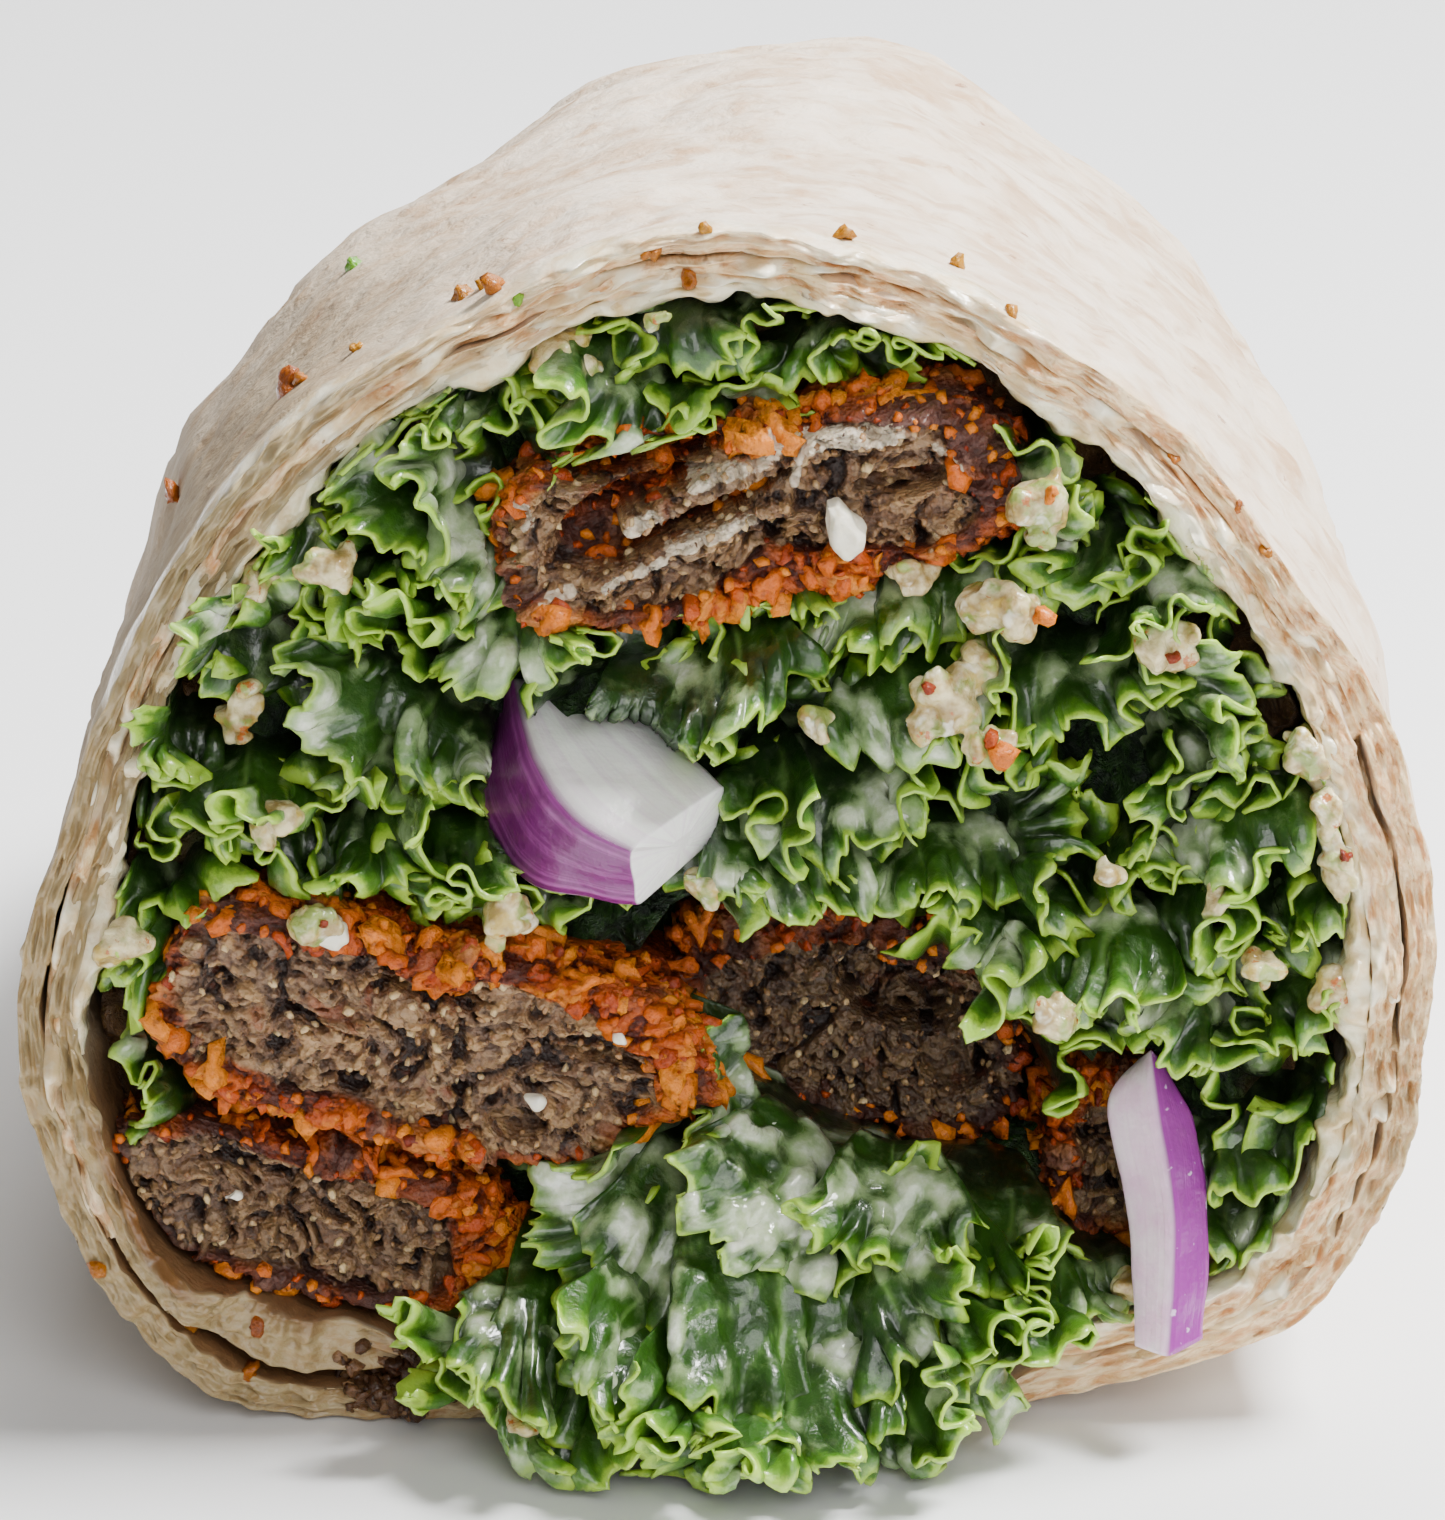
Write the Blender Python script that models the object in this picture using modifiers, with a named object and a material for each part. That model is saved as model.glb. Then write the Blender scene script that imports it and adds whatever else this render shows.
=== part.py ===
"""Half of a rolled flatbread wrap, cut across its middle and laid on its seam.

The flatbread is one sheet, rolled nearly twice round the filling and tucked shut at the far end. At the cut
it shows its two layers, the curled inner end at the lower left, and the filling that runs through the roll:
a heap of curly kale, five crumbed patty strips and pieces of red onion.

X is to the right and Y runs from the cut end to the tucked end. Z is up, and the origin is on the underside.
Sizes are in millimetres until a mesh is made, which is in metres.
"""

import functools
import math

import bmesh
import bpy
from mathutils import Vector, noise

MM = 0.001

# The roll.
WRAP_LENGTH = 88.0
CUT_TO_ORIGIN = 38.0  # the origin lies this far behind the cut
MIDDLE_AT = 38.0  # depth at which the roll has its middle outline
SHEET = 1.7  # thickness of the flatbread
LAYER_GAP = 0.35
PITCH = SHEET + LAYER_GAP
ROLL_TURNS = 1.865
STEPS_PER_TURN = 36
SEAM_FROM, SEAM_TO = 0.945, 0.995  # where the sheet ducks under its own outer end, in turns
FLAP_FROM, FLAP_TO = 1.755, 1.81  # where the inner end lifts off the outer layer and thickens
FLAP_LIFT = 0.6
FLAP_SHEET = 3.1  # the curled hem of the inner end is thicker
EDGE_TAPER = 0.03  # the sheet thins over this share of a turn at its two ends
SHEET_DEPTHS = (0.0, 8.0, 22.0, 38.0, 54.0, 64.0)

# The tucked end.
DOME_FROM = 58.0
DOME_EDGE = 59.0
DOME_DEPTHS = (59.0, 62.5, 68.0, 74.0, 79.0, 83.0, 86.0)
DOME_WALL = 4.4
DOME_ROOM = 8.2  # the salad keeps this far under the outline there, clear of the pleats
DOME_MIDDLE = Vector((3.0, 27.0))
PLEATS = 6
PLEAT_DEPTH = 1.1
SEAM_TWIST = 0.3  # the sheet's outer edge winds round the tucked end by this share of a turn

# Outlines of the roll (x, z), anticlockwise from the outer end of the sheet under the right side.
CUT_OUTLINE = (
    (12.0, 0.0), (29.0, 4.5), (35.0, 14.5), (36.3, 24.0), (34.6, 36.0), (29.0, 46.2), (19.0, 57.0),
    (6.0, 63.6), (-8.0, 62.4), (-21.0, 54.6), (-29.5, 43.6), (-34.0, 31.0), (-36.0, 19.0), (-32.0, 7.0),
    (-24.5, 0.6), (-11.0, 0.0), (3.0, 0.0),
)  # fmt: skip
MIDDLE_OUTLINE = (
    (13.0, 0.0), (28.0, 4.0), (34.5, 13.0), (36.2, 24.0), (34.6, 34.5), (30.5, 43.0), (21.0, 52.5),
    (8.0, 59.8), (-6.0, 58.8), (-19.0, 52.6), (-28.2, 43.6), (-33.0, 32.0), (-35.0, 19.0), (-31.5, 7.0),
    (-24.0, 0.8), (-11.0, 0.0), (3.0, 0.0),
)  # fmt: skip
AXIS_POINT = Vector((1.0, 28.0))  # a point well inside every outline
FRONT_CLEAR = 0.5  # pieces in front of the cut keep this far from the rim
CLEARANCE = 0.45  # between the filling and the flatbread, and between pieces of filling

# The heap of kale.
CORE_DEPTHS = (4.0, 14.0, 34.0, 52.0, 62.0, 70.0, 78.0)
CORE_SIDES = 24
CORE_BUMP = 1.2
ROOT_DEPTH = 6.5  # leaves grow out of the heap from this depth
LEAF_THICK = 0.9
LEAF_ROWS, LEAF_COLUMNS = 2, 5
RUFFLE = 1.5

# Leaves at the cut: x, z of the margin's middle, its depth, its width, the way it leans (0 is right, 90 up)
# and how far it leans, in degrees: 0 stands straight out of the cut and 90 lies in it.
TOP_LEAVES = ((-8.0, 56.3, 1.0, 9, 268, 50), (-1.0, 58.4, 0.0, 10, 270, 50), (5.5, 57.6, 0.5, 9, 272, 45))
LEFT_LEAVES = (
    (-19.5, 52.0, -0.5, 11, 200, 55), (-14.8, 49.6, -1.5, 11, 200, 35), (-18.2, 44.5, 0.0, 9, 225, 50),
    (-26.4, 42.0, -0.5, 9, 235, 60), (-20.5, 38.5, -1.0, 11, 200, 60), (-9.4, 42.0, -1.5, 9, 280, 60),
    (-25.0, 33.0, -1.0, 13, 265, 50), (-14.4, 29.8, -1.5, 10, 275, 60), (-29.6, 25.5, 0.0, 8, 225, 60),
)  # fmt: skip
CENTRE_LEAVES = (
    (-0.2, 38.6, -2.5, 10, 285, 50), (-0.5, 31.0, -1.5, 10, 270, 65), (6.2, 33.5, -1.5, 10, 280, 60),
    (6.0, 43.0, -0.5, 8, 250, 60), (11.5, 38.5, -2.0, 10, 300, 55), (12.5, 29.6, -0.5, 9, 290, 60),
)  # fmt: skip
RIGHT_LEAVES = (
    (17.0, 51.5, -0.5, 8, 30, 50), (25.0, 46.5, -1.0, 11, 340, 60), (25.5, 39.5, -1.5, 10, 0, 60),
    (18.5, 39.0, -0.5, 10, 280, 55), (16.5, 31.5, -1.0, 10, 20, 50), (21.5, 33.0, -0.5, 8, 200, 50),
    (26.8, 31.0, -1.0, 9, 290, 55), (16.5, 24.5, -3.0, 11, 250, 55), (29.8, 22.0, 0.0, 10, 300, 50),
    (28.8, 14.0, 0.5, 10, 300, 50),
)  # fmt: skip
LOW_LEAVES = (
    (0.0, 15.0, -2.0, 12, 200, 60), (-8.5, 10.8, -3.0, 11, 190, 60), (8.0, 13.0, -1.5, 11, 80, 45),
    (11.5, 9.0, -2.5, 10, 250, 50), (17.5, 7.0, -1.5, 8, 270, 50),
)  # fmt: skip
SPILT_LEAVES = (
    (3.4, 4.6, -8.0, 15, 270, 72), (11.6, 5.0, -6.0, 11, 300, 62), (-12.6, 2.8, -4.0, 9, 250, 60),
    (-7.2, 2.4, -7.0, 10, 265, 66), (-1.2, 1.2, -11.5, 11, 265, 70), (6.0, 1.6, -10.0, 10, 285, 68),
)  # fmt: skip

# Clots of chopped nut and cheese held in the dressing: x, z, depth and radius.
CLOTS = (
    (13.5, 44.5, -1.0, 2.6), (10.5, 37.5, -2.6, 2.2), (-27.8, 28.5, -0.6, 1.8), (31.0, 34.5, -0.4, 1.9),
    (-11.0, 29.2, -1.0, 1.7), (23.5, 42.0, -1.6, 1.7),
)  # fmt: skip

# Crumbed patty strips: centre x, z of the section, first and last depth, half width, half height and roll.
STRIPS = {
    "patty_strip_top": (2.0, 49.6, -0.6, 54.0, 12.4, 4.6, 11.0),
    "patty_strip_left": (-15.5, 21.7, -1.2, 55.0, 13.3, 5.0, -14.0),
    "patty_strip_low": (-20.9, 10.9, 0.6, 52.0, 9.8, 3.7, -15.0),
    "patty_strip_inner": (7.5, 19.6, 7.0, 54.0, 8.5, 5.2, -14.0),
    "patty_strip_right": (20.4, 12.6, 5.6, 50.0, 3.2, 4.6, 8.0),
}
RECESSED_STRIPS = ("patty_strip_inner", "patty_strip_right")  # seen through windows in the heap
STRIP_CUTS = 5
ROOM = 1.0  # a strip's room in the heap is this much wider on each side
ROOM_SIDES = 16
CRAG = 0.75
SLOT_CENTRE = (-3.5, 49.6)  # a split between two layers of the top strip
SLOT_SIZE = (5.2, 5.5, 1.15)
SLOT_ROLL = 14.0

# Pieces of red onion: sections of four corners (x, y, z), from the end inside the heap to the other.
ONIONS = {
    "onion_wedge": (
        ((-10.7, 4.0, 39.7), (-12.1, 6.0, 35.8), (-8.4, 9.0, 33.1), (-7.4, 8.0, 37.5)),
        ((-9.7, 0.0, 37.1), (-12.4, 2.5, 32.7), (-6.3, 7.0, 31.3), (-4.2, 5.0, 37.8)),
        ((-7.6, -3.0, 34.8), (-10.3, -0.5, 30.0), (-4.0, 4.0, 29.7), (-1.4, 2.0, 36.7)),
        ((-4.8, -4.5, 33.4), (-4.4, -2.5, 29.5), (-0.4, 0.5, 32.2), (0.2, -0.5, 35.6)),
    ),
    "onion_slice": (
        ((22.1, 1.5, 20.2), (22.9, 2.5, 18.9), (22.2, 4.0, 18.0), (21.5, 3.0, 19.0)),
        ((22.5, 0.0, 17.3), (24.5, 1.5, 16.0), (21.7, 3.0, 15.6), (19.7, 1.5, 17.1)),
        ((23.3, -2.0, 12.1), (25.3, -0.2, 11.6), (22.7, 1.3, 11.0), (20.8, -0.5, 11.8)),
        ((22.9, -5.0, 5.8), (25.0, -3.3, 6.1), (23.2, -2.0, 5.7), (21.1, -3.6, 5.8)),
    ),
}
ONION_STEPS = 9
ONION_EDGE = 0.3


def smooth(share):
    """Rises gently from 0 to 1."""
    share = min(max(share, 0.0), 1.0)
    return share * share * (3 - 2 * share)


def on_curve(points, turn):
    """A point of the closed Catmull-Rom curve through the points, at that share of a turn."""
    place = (turn % 1.0) * len(points)
    i, t = int(place), place % 1.0
    a, b, c, d = (Vector(points[(i + k) % len(points)]) for k in (-1, 0, 1, 2))
    return 0.5 * (2 * b + (c - a) * t + (2 * a - 5 * b + 4 * c - d) * t**2 + (3 * b - a - 3 * c + d) * t**3)


def skin(turn, y):
    """The roll's outer surface, as (x, z), at a share of a turn and a depth behind the cut."""
    blend = smooth(y / MIDDLE_AT)
    point = on_curve(CUT_OUTLINE, turn) * (1 - blend) + on_curve(MIDDLE_OUTLINE, turn) * blend
    taper = smooth((y - MIDDLE_AT) / 30)
    point = Vector((point.x * (1 - 0.10 * taper) + 2.4 * taper, point.y * (1 - 0.045 * taper)))
    point.y = max(point.y, 0.0)
    if y > DOME_FROM:
        shrink = (1 - ((y - DOME_FROM) / (WRAP_LENGTH - DOME_FROM)) ** 2.4) ** 0.45
        point = DOME_MIDDLE + (point - DOME_MIDDLE) * shrink
    return point


def under_skin(turn, y, depth):
    """A point that lies that deep under the outer surface."""
    ahead, behind = skin(turn + 0.004, y), skin(turn - 0.004, y)
    along = (ahead - behind).normalized()
    return skin(turn, y) + Vector((-along.y, along.x)) * depth


def flap(turn):
    """0 along the sheet, rising to 1 at its curled inner end."""
    return smooth((turn - FLAP_FROM) / (FLAP_TO - FLAP_FROM))


def sheet_depth(turn):
    """How deep the outer side of the sheet lies under the roll's outline, that far along the sheet."""
    seam = smooth((turn - SEAM_FROM) / (SEAM_TO - SEAM_FROM))
    return PITCH * seam + FLAP_LIFT * flap(turn)


def sheet_thickness(turn):
    return SHEET + (FLAP_SHEET - SHEET) * flap(turn)


def wall_depth(turn):
    """How deep the inner side of the flatbread lies under the roll's outline."""
    turn %= 1.0
    innermost = turn + 1 if turn + 1 < ROLL_TURNS + 0.02 else turn
    return sheet_depth(innermost) + sheet_thickness(innermost)


@functools.lru_cache(maxsize=None)
def ring_inside(y, gap, count=68):
    """The outline that far inside the flatbread, as angle and distance from the axis point, by angle."""
    spokes = [under_skin(i / count, y, wall_depth(i / count) + gap) - AXIS_POINT for i in range(count)]
    return sorted((math.atan2(spoke.y, spoke.x), spoke.length) for spoke in spokes)


def held_inside(x, z, y, gap):
    """The point, drawn in towards the axis if it would come nearer than the gap to the flatbread."""
    spoke = Vector((x, z)) - AXIS_POINT
    angle = math.atan2(spoke.y, spoke.x)
    ring = ring_inside(round(max(y, 0.0)), round(gap, 1))
    after = next((i for i, (a, _) in enumerate(ring) if a > angle), 0)
    (a0, r0), (a1, r1) = ring[after - 1], ring[after]
    share = ((angle - a0) % math.tau) / max((a1 - a0) % math.tau, 1e-6)
    limit = r0 + (r1 - r0) * share
    if spoke.length > limit:
        spoke *= limit / spoke.length
    return AXIS_POINT + spoke


def to_metres(x, y, z):
    return (x * MM, y * MM, z * MM)


def add_object(name, mesh, collection, parent=None):
    obj = bpy.data.objects.new(name, mesh)
    collection.objects.link(obj)
    obj.parent = parent
    return obj


def mesh_from(name, build):
    """A mesh that the function build fills through a BMesh."""
    bm = bmesh.new()
    build(bm)
    closed = all(edge.is_manifold for edge in bm.edges)
    if closed and bm.calc_volume(signed=True) < 0:
        bmesh.ops.reverse_faces(bm, faces=bm.faces)
    mesh = bpy.data.meshes.new(name)
    bm.to_mesh(mesh)
    bm.free()
    return mesh


def add_loft(bm, rings, closed):
    """Quads between rings of points. A closed ring joins its last point to its first."""
    rows = [[bm.verts.new(to_metres(*point)) for point in ring] for ring in rings]
    for low, high in zip(rows, rows[1:]):
        for i in range(len(low) if closed else len(low) - 1):
            j = (i + 1) % len(low)
            bm.faces.new((low[j], low[i], high[i], high[j]))
    return rows


def add_fan(bm, row, point, flip):
    """Closes a ring with a fan of triangles round a middle point."""
    middle = bm.verts.new(to_metres(*point))
    for i, vert in enumerate(row):
        after = row[(i + 1) % len(row)]
        bm.faces.new((after, vert, middle) if flip else (vert, after, middle))


def apply_modifiers(obj):
    """Replaces the object's mesh with its evaluated form."""
    bpy.context.view_layer.update()
    graph = bpy.context.evaluated_depsgraph_get()
    mesh = bpy.data.meshes.new_from_object(obj.evaluated_get(graph))
    obj.modifiers.clear()
    obj.data = mesh


def boolean(obj, operation, helpers):
    """Joins or cuts with every object of a collection, applies it and removes those objects."""
    modifier = obj.modifiers.new(operation.title(), "BOOLEAN")
    modifier.operation = operation
    modifier.operand_type = "COLLECTION"
    modifier.collection = helpers
    apply_modifiers(obj)
    for helper in list(helpers.objects):
        bpy.data.objects.remove(helper)


def keep_largest_body(obj):
    """Drops loose scraps that a cut left behind."""
    bm = bmesh.new()
    bm.from_mesh(obj.data)
    unseen, bodies = set(bm.verts), []
    while unseen:
        stack, body = [unseen.pop()], []
        while stack:
            vert = stack.pop()
            body.append(vert)
            for edge in vert.link_edges:
                other = edge.other_vert(vert)
                if other in unseen:
                    unseen.remove(other)
                    stack.append(other)
        bodies.append(body)
    largest = max(bodies, key=len)
    scraps = [vert for body in bodies if body is not largest for vert in body]
    bmesh.ops.delete(bm, geom=scraps, context="VERTS")
    bm.to_mesh(obj.data)
    bm.free()


# ---------------------------------------------------------------- flatbread


def rolled_sheet(collection):
    """The sheet's outer side as one open surface, given its thickness by Solidify."""
    steps = round(ROLL_TURNS * STEPS_PER_TURN)
    turns = [ROLL_TURNS * i / steps for i in range(steps + 1)]

    def build(bm):
        rings = []
        for y in SHEET_DEPTHS:
            tucked = 0.7 * smooth((y - 60) / 4)
            ring = []
            for turn in turns:
                x, z = under_skin(turn, y, sheet_depth(turn) + tucked)
                wave = 0.45 * math.sin(13 * turn) + 0.3 * math.sin(31 * turn) if y == 0 else 0.0
                ring.append((x, y + wave, z))
            rings.append(ring)
        add_loft(bm, rings, closed=False)

    sheet = add_object("tortilla", mesh_from("tortilla", build), collection)
    group = sheet.vertex_groups.new(name="thickness")
    for row in range(len(SHEET_DEPTHS)):
        for i, turn in enumerate(turns):
            taper = 0.45 + 0.55 * smooth(min(turn, ROLL_TURNS - turn) / EDGE_TAPER)
            group.add([row * len(turns) + i], sheet_thickness(turn) * taper / FLAP_SHEET, "REPLACE")
    wall = sheet.modifiers.new("Thickness", "SOLIDIFY")
    wall.thickness = FLAP_SHEET * MM
    wall.offset = -1.0
    wall.vertex_group = group.name
    wall.use_even_offset = True
    apply_modifiers(sheet)
    return sheet


def tucked_end(collection):
    """The closed far end: a dome with pleats that gather towards its middle."""

    def build(bm):
        rings = []
        for y in DOME_DEPTHS:
            gathered = smooth((y - 68) / 10)
            ring = []
            for i in range(STEPS_PER_TURN):
                turn = i / STEPS_PER_TURN
                crease = max(0.0, math.cos(math.tau * PLEATS * turn + 0.12 * y)) ** 2
                seam = sheet_depth((turn - SEAM_TWIST * smooth((y - 60) / 24)) % 1.0) * (1 - 0.6 * gathered)
                below = 0.35 * (1 - smooth((y - DOME_EDGE) / 3)) + seam + PLEAT_DEPTH * gathered * crease
                x, z = under_skin(turn, y, below)
                ring.append((x, y, max(z, 0.0)))
            rings.append(ring)
        rows = add_loft(bm, rings, closed=True)
        add_fan(bm, rows[-1], (DOME_MIDDLE.x, WRAP_LENGTH - 1.2, DOME_MIDDLE.y), flip=True)

    dome = add_object("tucked_end", mesh_from("tucked_end", build), collection)
    wall = dome.modifiers.new("Thickness", "SOLIDIFY")
    wall.thickness = DOME_WALL * MM
    wall.offset = -1.0
    apply_modifiers(dome)
    return dome


# ---------------------------------------------------------------- filling


def crag(point, size, amount, seed):
    """A signed bump for the rough crust, from smooth noise."""
    return amount * noise.noise(Vector(point) / size + Vector((seed, 2 * seed, 0)))


def crumbed_strip(name, collection):
    """A long strip with a rough crust and a flat cut end, from a divided cube pulled into a rounded bar."""
    cx, cz, first, last, half_width, half_height, roll = STRIPS[name]
    seed = 7.3 * (1 + sorted(STRIPS).index(name))
    turn = math.radians(roll)

    def build(bm):
        bmesh.ops.create_cube(bm, size=2.0)
        bmesh.ops.subdivide_edges(bm, edges=bm.edges, cuts=STRIP_CUTS, use_grid_fill=True)
        for vert in bm.verts:
            a, along, b = vert.co
            square = max(abs(a), abs(b))
            shrink = square / max((abs(a) ** 3.2 + abs(b) ** 3.2) ** (1 / 3.2), 1e-6)
            shrink *= 0.9 if abs(along) > 0.99 else 1.0
            across, up = a * shrink * half_width, b * shrink * half_height
            y = (first + last) / 2 + (last - first) / 2 * math.copysign(abs(along) ** 0.4, along)
            rough = crag((across, y * 0.6, up), 2.6, CRAG, seed) * square
            across += rough * math.copysign(min(abs(a) / square, 1.0) ** 2, a) if square else 0.0
            up += rough * math.copysign(min(abs(b) / square, 1.0) ** 2, b) if square else 0.0
            if along < -0.99:
                y += crag((across, 0, up), 2.2, 1.6 * CRAG, seed + 3)
            x = cx + across * math.cos(turn) - up * math.sin(turn)
            z = cz + across * math.sin(turn) + up * math.cos(turn)
            x, z = held_inside(x, z, y, CLEARANCE + 0.4)
            vert.co = to_metres(x, y, z)
        bmesh.ops.triangulate(bm, faces=bm.faces, quad_method="FIXED")

    return add_object(name, mesh_from(name, build), collection)


def room_for_strip(name, collection):
    """The room a strip needs in the heap, as a cutter. A recessed strip is seen through it from the cut."""
    cx, cz, first, last, half_width, half_height, roll = STRIPS[name]
    first = -2.0 if name in RECESSED_STRIPS else first - 1.0

    def build(bm):
        bmesh.ops.create_cone(bm, cap_ends=True, segments=ROOM_SIDES, radius1=1.0, radius2=1.0, depth=2.0)
        for vert in bm.verts:
            a, b, along = vert.co
            shrink = 1 / (abs(a) ** 3.2 + abs(b) ** 3.2) ** (1 / 3.2)
            across, up = a * shrink * (half_width + ROOM), b * shrink * (half_height + ROOM)
            vert.co = to_metres(across, (first + last) / 2 + along * ((last - first) / 2 + ROOM), up)

    room = add_object("room_for_" + name, mesh_from(name, build), collection)
    room.location = to_metres(cx, 0, cz)
    room.rotation_euler.y = -math.radians(roll)
    return room


def split_slot(collection):
    """The dark split in the top strip's cut end, as a cutter."""

    def build(bm):
        bmesh.ops.create_uvsphere(bm, u_segments=14, v_segments=8, radius=1.0)
        for vert in bm.verts:
            across, deep, up = (vert.co[i] * SLOT_SIZE[i] for i in range(3))
            up += 0.09 * across
            vert.co = to_metres(across, deep, up)

    slot = add_object("split", mesh_from("split", build), collection)
    slot.location = to_metres(SLOT_CENTRE[0], -0.6, SLOT_CENTRE[1])
    slot.rotation_euler.y = -math.radians(SLOT_ROLL)
    return slot


def onion_piece(name, collection, grow=0.0):
    """A piece of an onion layer, lofted between four-cornered sections. Its skin is between corners 0 and 1."""
    sections = ONIONS[name]

    def corner(k, place):
        i = min(int(place), len(sections) - 2)
        t = place - i
        picks = (sections[max(i - 1, 0)], sections[i], sections[i + 1], sections[min(i + 2, len(sections) - 1)])
        a, b, c, d = (Vector(section[k]) for section in picks)
        return 0.5 * (2 * b + (c - a) * t + (2 * a - 5 * b + 4 * c - d) * t**2 + (3 * b - a - 3 * c + d) * t**3)

    def build(bm):
        rows = []
        for i in range(ONION_STEPS + 1):
            place = (len(sections) - 1) * i / ONION_STEPS
            corners = [corner(k, place) for k in range(4)]
            middle = sum(corners, Vector()) / 4
            corners = [c + (c - middle).normalized() * grow * 1.5 for c in corners]
            along = (sum((corner(k, place + 0.02) - corner(k, place - 0.02) for k in range(4)), Vector())).normalized()
            ends = {0: -1, ONION_STEPS: 1}.get(i, 0)
            rows.append([bm.verts.new(to_metres(*(c + along * ends * grow))) for c in corners])
        for low, high in zip(rows, rows[1:]):
            for k in range(4):
                bm.faces.new((low[k], low[k - 3], high[k - 3], high[k]))
        bm.faces.new(rows[0][::-1])
        bm.faces.new(rows[-1])

    piece = add_object(name, mesh_from(name, build), collection)
    if not grow:
        bevel = piece.modifiers.new("Soft edges", "BEVEL")
        bevel.width = ONION_EDGE * MM
        bevel.segments = 1
        apply_modifiers(piece)
    return piece


def core_depth(turn, y):
    """How deep the bulk of the salad lies under the roll's outline, more towards the tucked end."""
    tucked = smooth((y - 44) / 16)
    return (wall_depth(turn) + 0.6 + 0.01 * y) * (1 - tucked) + DOME_ROOM * tucked


def heap_core(collection):
    """The bulk of the salad, which fills the roll from just behind the cut to the tucked end."""

    def build(bm):
        rings = []
        for y in CORE_DEPTHS:
            ring = []
            for i in range(CORE_SIDES):
                turn = i / CORE_SIDES
                x, z = under_skin(turn, y, core_depth(turn, y))
                bump = crag((x, y, z), 5.0, CORE_BUMP, 3) if y == CORE_DEPTHS[0] else 0.0
                ring.append((x, y + bump, z))
            rings.append(ring)
        rim = rings[0]
        for share in (0.78, 0.48):
            ring = []
            for x, y, z in rim:
                x, z = AXIS_POINT + (Vector((x, z)) - AXIS_POINT) * share
                ring.append((x, CORE_DEPTHS[0] - 0.4 + crag((x, 0, z), 4.0, 2.2 * CORE_BUMP, 9), z))
            rings.insert(0, ring)
        rows = add_loft(bm, rings, closed=True)
        add_fan(bm, rows[0], (AXIS_POINT.x, CORE_DEPTHS[0] - 0.5, AXIS_POINT.y), flip=False)
        add_fan(bm, rows[-1], (DOME_MIDDLE.x, CORE_DEPTHS[-1] + 1.5, DOME_MIDDLE.y), flip=True)

    return add_object("kale_salad", mesh_from("kale_salad", build), collection)


def kale_leaf(index, place, collection):
    """A leaf that grows out of the heap, bends over as it leans and ends in a ruffled margin."""
    x, z, front, width, towards, lean = place
    side = Vector((math.cos(math.radians(towards)), math.sin(math.radians(towards))))
    along = Vector((-side.y, side.x))
    bends = [math.radians(lean) * (k / LEAF_ROWS) ** 1.3 for k in range(LEAF_ROWS + 1)]
    forward = [0.0]
    sideways = [0.0]
    for k in range(LEAF_ROWS):
        bend = (bends[k] + bends[k + 1]) / 2
        forward.append(forward[-1] + math.cos(bend))
        sideways.append(sideways[-1] + math.sin(bend))
    scale = (ROOT_DEPTH - front) / forward[-1]
    room = CLEARANCE + LEAF_THICK / 2 + RUFFLE * 0.6

    def limit(y):
        """How far inside the flatbread the leaf has to stay. In front of the rim it may lie over it."""
        return max(room - 0.7 * max(-FRONT_CLEAR - y, 0.0), -3.4)

    middle = Vector((x, z))
    for _ in range(3):
        ends = [middle + along * across * width for across in (-0.5, 0.0, 0.5)]
        middle += sum((held_inside(*end, front, limit(front)) - end for end in ends), Vector((0, 0)))
    root = middle - side * sideways[-1] * scale

    def build(bm):
        bmesh.ops.create_grid(bm, x_segments=LEAF_COLUMNS, y_segments=LEAF_ROWS, size=0.5)
        for vert in bm.verts:
            row = round((vert.co.y + 0.5) * LEAF_ROWS)
            across, out = vert.co.x, row / LEAF_ROWS
            phase = math.tau * (2.0 * across + 0.37 * index)
            wave = RUFFLE * out**1.5 * math.sin(phase)
            spread = width * (0.4 + 0.6 * out)
            y = ROOT_DEPTH - forward[row] * scale
            flat = root + side * sideways[row] * scale + along * across * spread
            flat = held_inside(*flat, y, limit(y)) + side * wave * math.cos(bends[row])
            y += wave * math.sin(bends[row]) + 0.9 * out * (2 * across) ** 2
            vert.co = to_metres(flat.x, y, max(flat.y, 0.9))
        bmesh.ops.triangulate(bm, faces=bm.faces)

    leaf = add_object(f"leaf_{index}", mesh_from("leaf", build), collection)
    solid = leaf.modifiers.new("Thickness", "SOLIDIFY")
    solid.thickness = LEAF_THICK * MM
    solid.offset = 0.0
    apply_modifiers(leaf)
    return leaf


def clot(index, place, collection):
    """A lumpy clot of chopped nut and cheese."""
    x, z, y, radius = place

    def build(bm):
        bmesh.ops.create_icosphere(bm, subdivisions=1, radius=1.0)
        for vert in bm.verts:
            lump = radius * (1 + crag(vert.co, 0.7, 0.5, index + 1))
            vert.co = Vector(to_metres(x, y + 1.5, z)) + vert.co * lump * MM

    return add_object(f"clot_{index}", mesh_from("clot", build), collection)


def kale_salad(collection, helpers):
    heap = heap_core(collection)
    leaves = TOP_LEAVES + LEFT_LEAVES + CENTRE_LEAVES + RIGHT_LEAVES + LOW_LEAVES + SPILT_LEAVES
    for index, place in enumerate(leaves):
        kale_leaf(index, place, helpers)
    for index, place in enumerate(CLOTS):
        clot(index, place, helpers)
    boolean(heap, "UNION", helpers)
    for name in STRIPS:
        room_for_strip(name, helpers)
    for name in ONIONS:
        piece = onion_piece(name, helpers, grow=1.6 * CLEARANCE)
        piece.name = "room_for_" + name
    boolean(heap, "DIFFERENCE", helpers)
    keep_largest_body(heap)
    return heap


# ---------------------------------------------------------------- finish


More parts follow.
